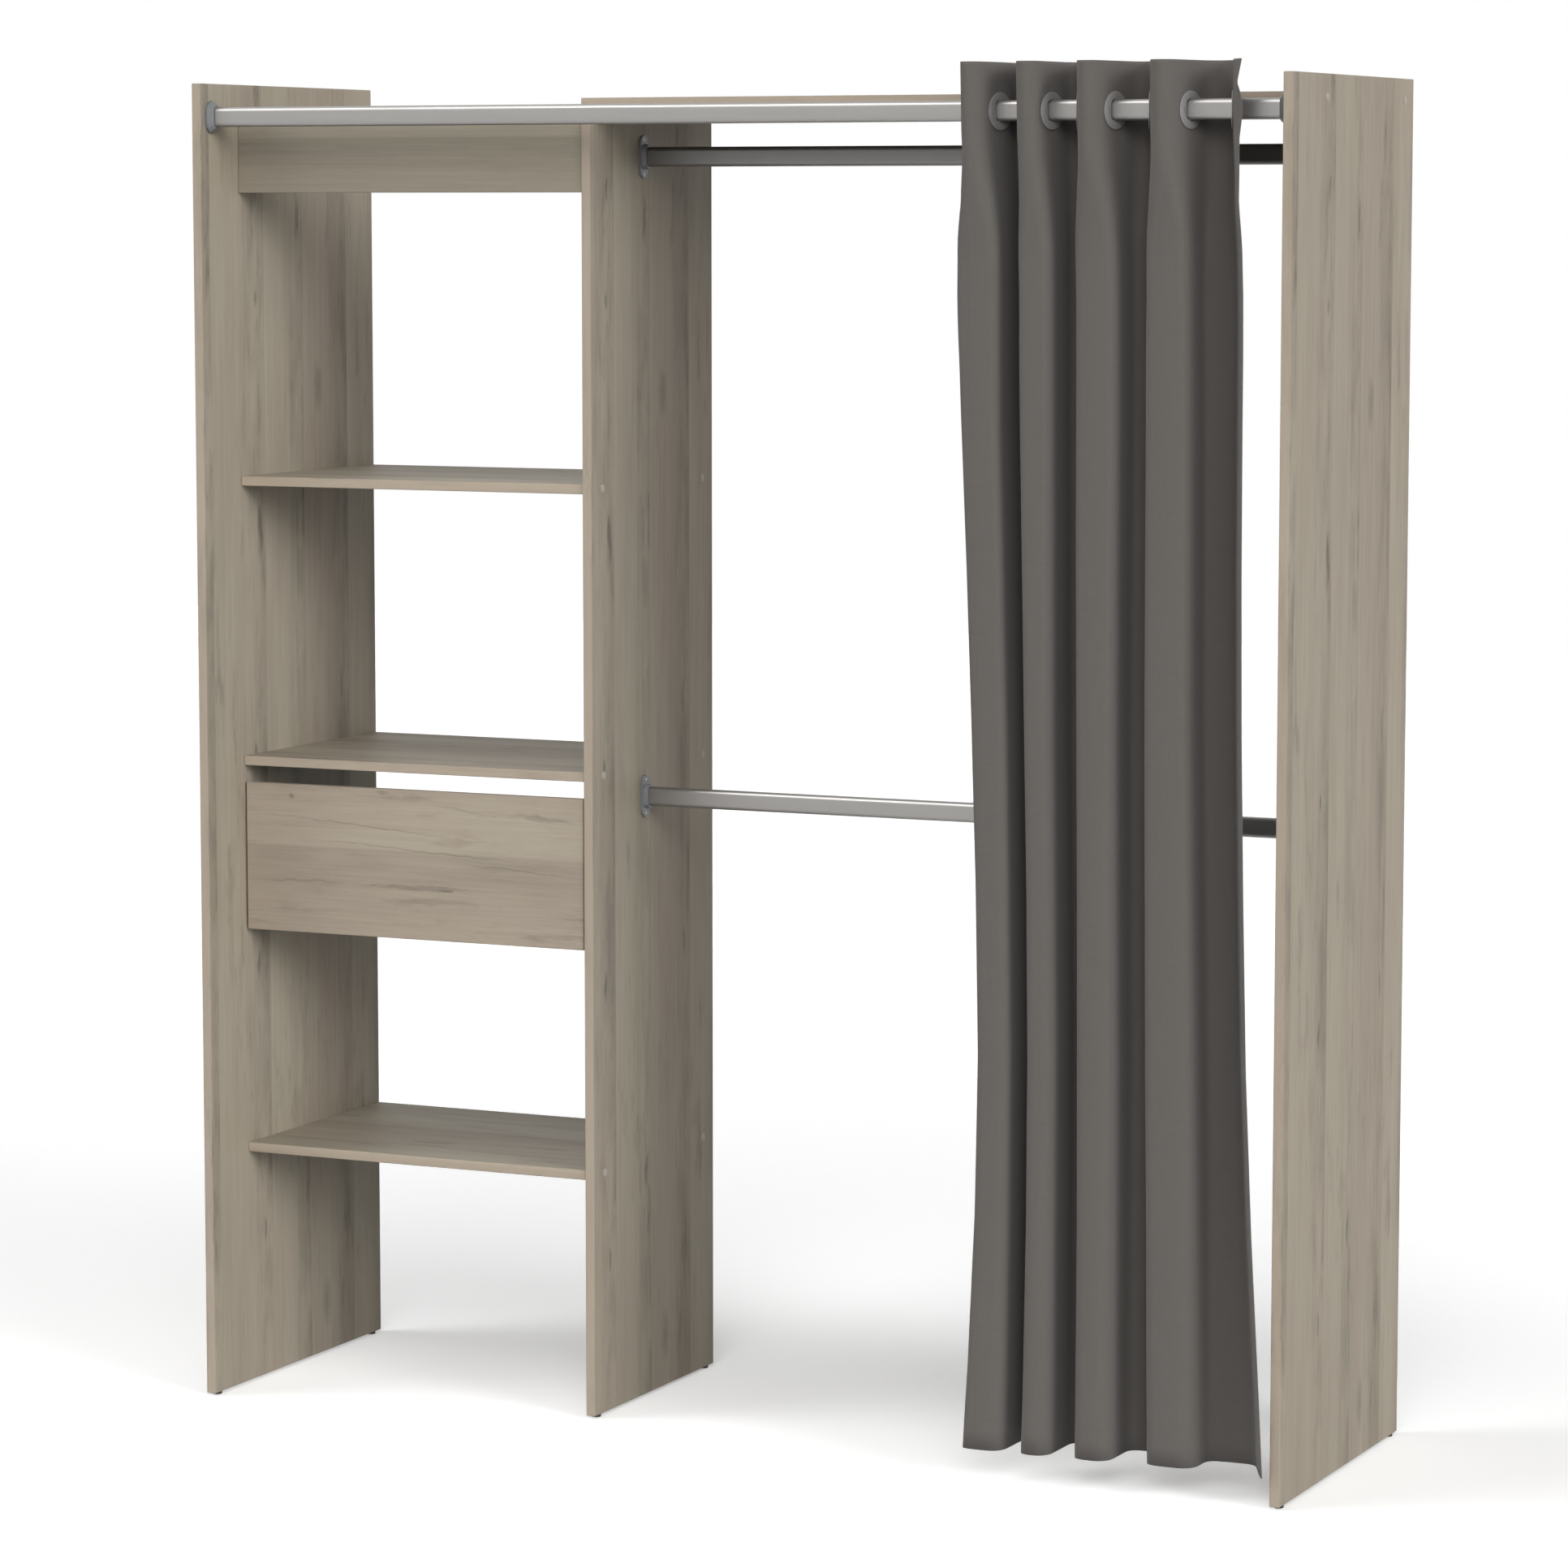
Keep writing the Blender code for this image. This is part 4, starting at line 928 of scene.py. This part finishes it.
def rod_mesh(node):
    """An oval tube: the outline carried along X, out over the outside and back through the bore."""
    low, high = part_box(node)
    soft = 0.0004
    eased, outer, inner = (
        oval_outline(ROD_DEPTH - less, ROD_HEIGHT - less, 20) for less in (2 * soft, 0.0, 2 * ROD_WALL)
    )
    sections = (
        (low.x, eased),
        (low.x + soft, outer),
        (low.x + 2 * soft, outer),
        (high.x - 2 * soft, outer),
        (high.x - soft, outer),
        (high.x, eased),
        (high.x, inner),
        (high.x - soft, inner),
        (low.x + soft, inner),
        (low.x, inner),
    )
    middle = box_centre(node)[1:]
    rings = [np.column_stack([np.full(len(outline), x), outline + middle]) for x, outline in sections]
    return grid_mesh(node, np.array(rings)[:, ::-1], wrap_rows=True, wrap_columns=True, sharp=50.0)


class WARDROBE_OT_rods(bpy.types.Operator):
    """The three oval rods, and the finish of their flanges."""

    bl_idname = "wardrobe.rods"
    bl_label = "Rods"

    def execute(self, context):
        settings = context.scene.wardrobe_metal
        group = brushed_group()
        satin, painted_shade_satin = (
            metal_material(name, tuple(colour), group, (6.0, 900.0, 900.0), settings.roughness)
            for name, colour in (("rod_satin", settings.rod), ("upper_rod_painted_shade", settings.painted_shade_rod))
        )
        flange = tuple(settings.flange)
        paint = metal_material("flange_satin", flange, group, (300.0, 300.0, 300.0), 0.42, 0.0)
        for node in RODS:
            # The upper hanging rod takes the darker copy of the satin, painted shade for the top board above
            # it
            metal = painted_shade_satin if node == "upper_hanging_rod" else satin
            new_piece(f"{node}_tube", rod_mesh(node), metal, "carcass", [node])
            for end in ENDS:
                dress_node(f"{node}_{end}_flange", paint)
        return {"FINISHED"}


def screw_head_mesh(name, place, turn):
    """A raised countersunk head with a cross recess, as a height over a disc.

    The height falls with the square of the radius, and the recess is the lower of two
    crossed troughs near the middle.
    """
    radius, steps, sides = 0.0034, 12, 64
    ring = np.linspace(0.0002, 1.0, steps)[:, None] * radius
    angle = np.linspace(0.0, math.tau, sides, endpoint=False)[None, :]
    dome = 0.0009 * (1.0 - (ring / radius) ** 2)
    y, z = ring * np.cos(angle), ring * np.sin(angle)
    trough = 1.0 - smooth_share(np.minimum(np.abs(y), np.abs(z)), 0.0003, 0.0006)
    recess = 0.0010 * trough * (1.0 - smooth_share(ring, 0.0016, 0.0021))
    top = np.stack([dome - recess, y, z], axis=-1)
    skirt = turned_points([(-0.0012, radius * 0.75), (-0.0012, 0.00002)], sides)
    return facing_mesh(name, np.concatenate([top, skirt]), place, turn, sharp=40.0)


def facing_mesh(name, points, place, turn, sharp=None):
    """A turned form put in its place, which looks to the right, or to the left where turn is -1."""
    points = points * np.array((turn, 1.0, 1.0)) + np.array(place)
    if turn < 0:
        points = points[:, ::-1]
    return grid_mesh(name, points[::-1], wrap_columns=True, sharp=sharp)


class WARDROBE_OT_flange_screws(bpy.types.Operator):
    """Two screws in each flange of the hanging rods."""

    bl_idname = "wardrobe.flange_screws"
    bl_label = "Flange screws"

    def execute(self, context):
        group = bpy.data.node_groups["brushed"]
        steel = metal_material("screw_steel", (0.55, 0.55, 0.54), group, (400.0, 400.0, 400.0), 0.3)
        flange_height, flange_face = 0.065, 0.0030
        reach = (flange_height + ROD_HEIGHT + 0.009) / 4
        for rod in HANGING_RODS:
            for end, turn in zip(ENDS, (1, -1)):
                low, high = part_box(f"{rod}_{end}_flange")
                face = low.x + flange_face if turn > 0 else high.x - flange_face
                _, y, z = box_centre(f"{rod}_{end}_flange")
                for label, side in (("upper", 1), ("lower", -1)):
                    name = f"{rod}_{end}_{label}_flange_screw"
                    mesh = screw_head_mesh(name, (face, y, z + side * reach), turn)
                    new_piece(name, mesh, steel, "carcass")
        return {"FINISHED"}


class WARDROBE_OT_caps(bpy.types.Operator):
    """Domed cover caps over the shelf screws."""

    bl_idname = "wardrobe.caps"
    bl_label = "Cover caps"

    def execute(self, context):
        dark, light = (0.31, 0.27, 0.22, 1.0), (0.40, 0.36, 0.30, 1.0)
        bump = (0.00004, 0.4)
        material = speckled_material("cap_beige", (0.36, 0.32, 0.265), dark, light, 700.0, 0.5, bump=bump)
        radius, height, edge, stand = 0.0062, 0.0016, 0.0005, 0.0015
        profile = [(0.0, radius)] + arc((edge, radius - edge), edge, 90.0, 30.0, 5)
        rim_height, rim_radius = profile[-1]
        for share in np.linspace(0.95, 0.003, 9):
            rise = (height - rim_height) * (1.0 - share**2)
            profile.append((rim_height + rise, rim_radius * share))
        dome = turned_points(profile, 40)
        for name in SCREWS:
            low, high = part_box(name)
            turn = -1 if "_left_" in name and not name.startswith("top_board") else 1
            face = high.x - stand if turn > 0 else low.x + stand
            _, y, z = box_centre(name)
            mesh = facing_mesh(name, dome, (face, y, z), turn)
            new_piece(f"{name}_cap", mesh, material, "carcass", [name])
        return {"FINISHED"}


class WARDROBE_OT_glides(bpy.types.Operator):
    """Round nail-on glides under the uprights."""

    bl_idname = "wardrobe.glides"
    bl_label = "Glides"

    def execute(self, context):
        dark, light = (0.014, 0.012, 0.011, 1.0), (0.022, 0.020, 0.018, 1.0)
        material = speckled_material("glide_dark", (0.018, 0.016, 0.015), dark, light, 900.0, 0.56, 0.08)
        radius, height, edge, ease, pole = 0.0070, 0.0040, 0.0012, 0.0003, 0.00002
        profile = [(0.0, pole), (0.0, radius - edge)]
        profile += arc((edge, radius - edge), edge, 180.0, 90.0, 6)[1:]
        profile += [(height - ease, radius), (height, radius - ease), (height, pole)]
        disc = np.roll(turned_points(profile, 48), -1, axis=-1)
        for name in GLIDES:
            place = (*box_centre(name)[:2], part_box(name)[0].z)
            mesh = grid_mesh(name, disc + np.array(place), wrap_columns=True, sharp=40.0)
            new_piece(f"{name}_disc", mesh, material, "carcass", [name])
        return {"FINISHED"}


class WARDROBE_OT_slides(bpy.types.Operator):
    """Finishes of the drawer's roller slides."""

    bl_idname = "wardrobe.slides"
    bl_label = "Drawer slides"

    def execute(self, context):
        for part, name, colour, grain, roughness in (
            ("runner", "runner_coat", (0.78, 0.77, 0.74), 500.0, 0.38),
            ("roller", "roller_moulding", (0.82, 0.82, 0.79), 800.0, 0.5),
        ):
            dark, light, bump = scaled(colour, 0.94), scaled(colour, 1.05), (0.00003, 0.3)
            material = speckled_material(name, colour, dark, light, grain, roughness, 0.05, bump)
            for side in ENDS:
                for owner in ("cabinet", "drawer"):
                    dress_node(f"{owner}_{part}_{side}", material)
        return {"FINISHED"}


class WARDROBE_OT_curtain(bpy.types.Operator):
    """The hanging cloth with its folds, hems and eyelet holes."""

    bl_idname = "wardrobe.curtain"
    bl_label = "Curtain"

    def execute(self, context):
        settings = context.scene.wardrobe_curtain
        material = cloth_material(settings)
        piece = new_piece("curtain_cloth", cloth_mesh(), material, None, ["curtain"])
        solid = piece.modifiers.new("thickness", "SOLIDIFY")
        solid.thickness = settings.thickness
        solid.offset = 0.0
        solid.vertex_group = band_weights(piece)
        solid.thickness_vertex_group = 0.55
        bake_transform(piece)
        follow_eyelets(piece)
        return {"FINISHED"}


def eyelet_points(place, angle):
    """A ring from two domed washers joined through the bore, turned round its axis.

    The axis is square to the cloth, which runs at the given angle to the rod.
    """
    outer, bore, half = EYELET_RADIUS, EYELET_BORE, EYELET_HALF
    lip, slot = 0.0007, 0.0011
    face = arc((half - lip, outer - lip), lip, 90.0, 10.0, 5)
    swell = np.linspace(0.0, 1.0, 9)[1:-1]
    width = outer - bore - 2 * lip
    face += [(half + 0.0003 * math.sin(math.pi * s), outer - lip - s * width) for s in swell]
    face += arc((half - lip, bore + lip), lip, -10.0, -90.0, 6)
    profile = [(slot, outer - 0.0006)] + face
    back = [(-along, radius) for along, radius in reversed(profile)]
    neck = bore + 0.0012
    x, y, z = np.moveaxis(turned_points(profile + back + [(-slot, neck), (slot, neck)], 72), -1, 0)
    c, s = math.cos(angle - math.pi / 2), math.sin(angle - math.pi / 2)
    turned = np.stack([x * c - y * s, x * s + y * c, z], axis=-1)
    return turned + np.array((place[0], place[1], place[2] + EYELET_RISE))


def collar_points(place, angle):
    """A thin collar in an eyelet's bore, whose opening follows the oval rod with a hair of play.

    In the plane of the eyelet the rod is wider than it is deep, by the slant at which it passes.
    """
    turn = np.linspace(0.0, 2 * math.pi, 72, endpoint=False)
    half_width, straight = ROD_DEPTH / 2 / abs(math.sin(angle)) + 0.0014, (ROD_HEIGHT - ROD_DEPTH) / 2
    above = (ROD_DEPTH / 2 + 0.0003) * np.sin(turn) + np.sign(np.sin(turn)) * straight
    reach = EYELET_BORE - 0.0004
    opening = np.stack([half_width * np.cos(turn), np.clip(above, -reach, reach)], axis=-1)
    rim = (EYELET_BORE + 0.0006) * opening / np.linalg.norm(opening, axis=-1, keepdims=True)
    half = 0.0008
    c, s = math.cos(angle), math.sin(angle)
    rings = [
        np.column_stack([ring[:, 0] * c - depth * s, ring[:, 0] * s + depth * c, ring[:, 1]])
        for depth, ring in ((half, rim), (half, opening), (-half, opening), (-half, rim))
    ]
    return np.array(rings) + np.array((place[0], place[1], ROD_CENTRE[2]))


class WARDROBE_OT_eyelets(bpy.types.Operator):
    """The eight eyelets that carry the cloth on the front rod."""

    bl_idname = "wardrobe.eyelets"
    bl_label = "Eyelets"

    def execute(self, context):
        colour = tuple(context.scene.wardrobe_metal.eyelet)
        group = bpy.data.node_groups["brushed"]
        material = metal_material("eyelet_satin", colour, group, (250.0, 250.0, 250.0), 0.45, 0.2)
        for index, (node, body) in enumerate(zip(EYELETS, EYELET_BODIES)):
            angle = FORWARD_ANGLE if index % 2 else BACKWARD_ANGLE
            grids = eyelet_points(box_centre(node), angle)[::-1], collar_points(box_centre(node), angle)
            mesh = grid_mesh(node, *grids, wrap_rows=True, wrap_columns=True, sharp=50.0)
            new_piece(f"{node}_ring", mesh, material, body, [node])
        return {"FINISHED"}


def seen_directly(tree):
    """1 for rays from the camera, a mirror or glass, and 0 for the light that falls on the object."""
    path = add_node("ShaderNodeLightPath", tree=tree)
    seen = path["Is Camera Ray"].calc("MAXIMUM", path["Is Glossy Ray"])
    return seen.calc("MAXIMUM", path["Is Transmission Ray"])


def soft_box(direction, side, height, strength, narrow):
    """Glow of a soft box: its strength times a power of the cosine of the angle from its middle."""
    middle = (math.sin(side) * math.cos(height), -math.cos(side) * math.cos(height), math.sin(height))
    toward = add_node("ShaderNodeVectorMath", {0: direction, 1: middle}, operation="DOT_PRODUCT")["Value"]
    return toward.calc("MAXIMUM", 0.0).calc("POWER", narrow) * strength


class WARDROBE_OT_stage(bpy.types.Operator):
    """Pale floor, white surroundings, soft lamps and the camera."""

    bl_idname = "wardrobe.stage"
    bl_label = "Stage"

    def execute(self, context):
        scene = context.scene
        settings = scene.wardrobe_stage
        reach = 14.0
        points = np.array([[(x, y, 0.0) for x in (-reach, reach)] for y in (-reach, reach)])
        floor = add_object("floor", grid_mesh("floor", points))
        values = {"Roughness": 0.9, "Specular IOR Level": 0.0, "Emission Color": (1.0, 1.0, 1.0, 1.0)}
        material, sockets = new_material("floor_white", (0.9, 0.9, 0.9), values)
        seen = seen_directly(material.node_tree)
        colour = mix_colour(seen, (0.45, 0.45, 0.45, 1.0), (0.98, 0.98, 0.98, 1.0))
        lead(colour, sockets["Base Color"])
        lead(seen * 0.28, sockets["Emission Strength"])
        floor.data.materials.append(material)

        world = bpy.data.worlds.new("studio")
        scene.world = world
        world.use_nodes = True
        tree = world.node_tree
        up = add_node("ShaderNodeTexCoord", tree=tree)["Generated"]
        sky = settings.sky
        for side, height, strength, narrow in SOFT_BOXES:
            box = soft_box(up, math.radians(side), math.radians(height), strength * settings.light, narrow)
            sky = box + sky
        strength = add_node("ShaderNodeMix", {0: seen_directly(tree), 2: sky, 3: 1.0}, data_type="FLOAT")[0]
        background = tree.nodes["Background"].inputs
        background["Color"].default_value = (1.0, 1.0, 1.0, 1.0)
        lead(strength, background["Strength"])

        lamp = bpy.data.lights.new("shine_lamp", "SUN")
        lamp.energy = settings.shine
        lamp.angle = math.radians(20.0)
        holder = add_object("shine_lamp", lamp)
        holder.location = (-2.6, -3.4, 4.4)
        holder.rotation_euler = holder.location.to_track_quat("Z", "Y").to_euler()
        holder.visible_diffuse = False

        camera = bpy.data.cameras.new("camera")
        camera.lens = settings.lens
        camera.sensor_width = 36.0
        camera.clip_end = 60.0
        holder = add_object("camera", camera)
        holder.location = settings.camera_place
        holder.rotation_euler = (math.pi / 2 - settings.camera_pitch, 0.0, settings.camera_turn)
        scene.camera = holder
        scene.view_settings.view_transform = "Standard"
        return {"FINISHED"}


GROUPS = (
    (WARDROBE_PG_boards, "wardrobe_boards"),
    (WARDROBE_PG_metal, "wardrobe_metal"),
    (WARDROBE_PG_curtain, "wardrobe_curtain"),
    (WARDROBE_PG_stage, "wardrobe_stage"),
)
STEPS = (
    WARDROBE_OT_stage,
    WARDROBE_OT_boards,
    WARDROBE_OT_rods,
    WARDROBE_OT_flange_screws,
    WARDROBE_OT_caps,
    WARDROBE_OT_glides,
    WARDROBE_OT_slides,
    WARDROBE_OT_eyelets,
    WARDROBE_OT_curtain,
)


class WARDROBE_PT_panel(bpy.types.Panel):
    """Settings and steps of the wardrobe."""

    bl_idname = "WARDROBE_PT_panel"
    bl_label = "Wardrobe"
    bl_space_type = "VIEW_3D"
    bl_region_type = "UI"
    bl_category = "Wardrobe"

    def draw(self, context):
        for group, attribute in GROUPS:
            settings = getattr(context.scene, attribute)
            box = self.layout.box()
            for name in group.__annotations__:
                box.prop(settings, name)
        for step in STEPS:
            self.layout.operator(step.bl_idname)


def register():
    for group, attribute in GROUPS:
        bpy.utils.register_class(group)
        setattr(bpy.types.Scene, attribute, bpy.props.PointerProperty(type=group))
    for step in STEPS:
        bpy.utils.register_class(step)
    bpy.utils.register_class(WARDROBE_PT_panel)


def unregister():
    bpy.utils.unregister_class(WARDROBE_PT_panel)
    for step in reversed(STEPS):
        bpy.utils.unregister_class(step)
    for group, attribute in reversed(GROUPS):
        delattr(bpy.types.Scene, attribute)
        bpy.utils.unregister_class(group)


def main():
    register()
    for step in STEPS:
        area, name = step.bl_idname.split(".")
        getattr(getattr(bpy.ops, area), name)()


if __name__ == "__main__":
    main()
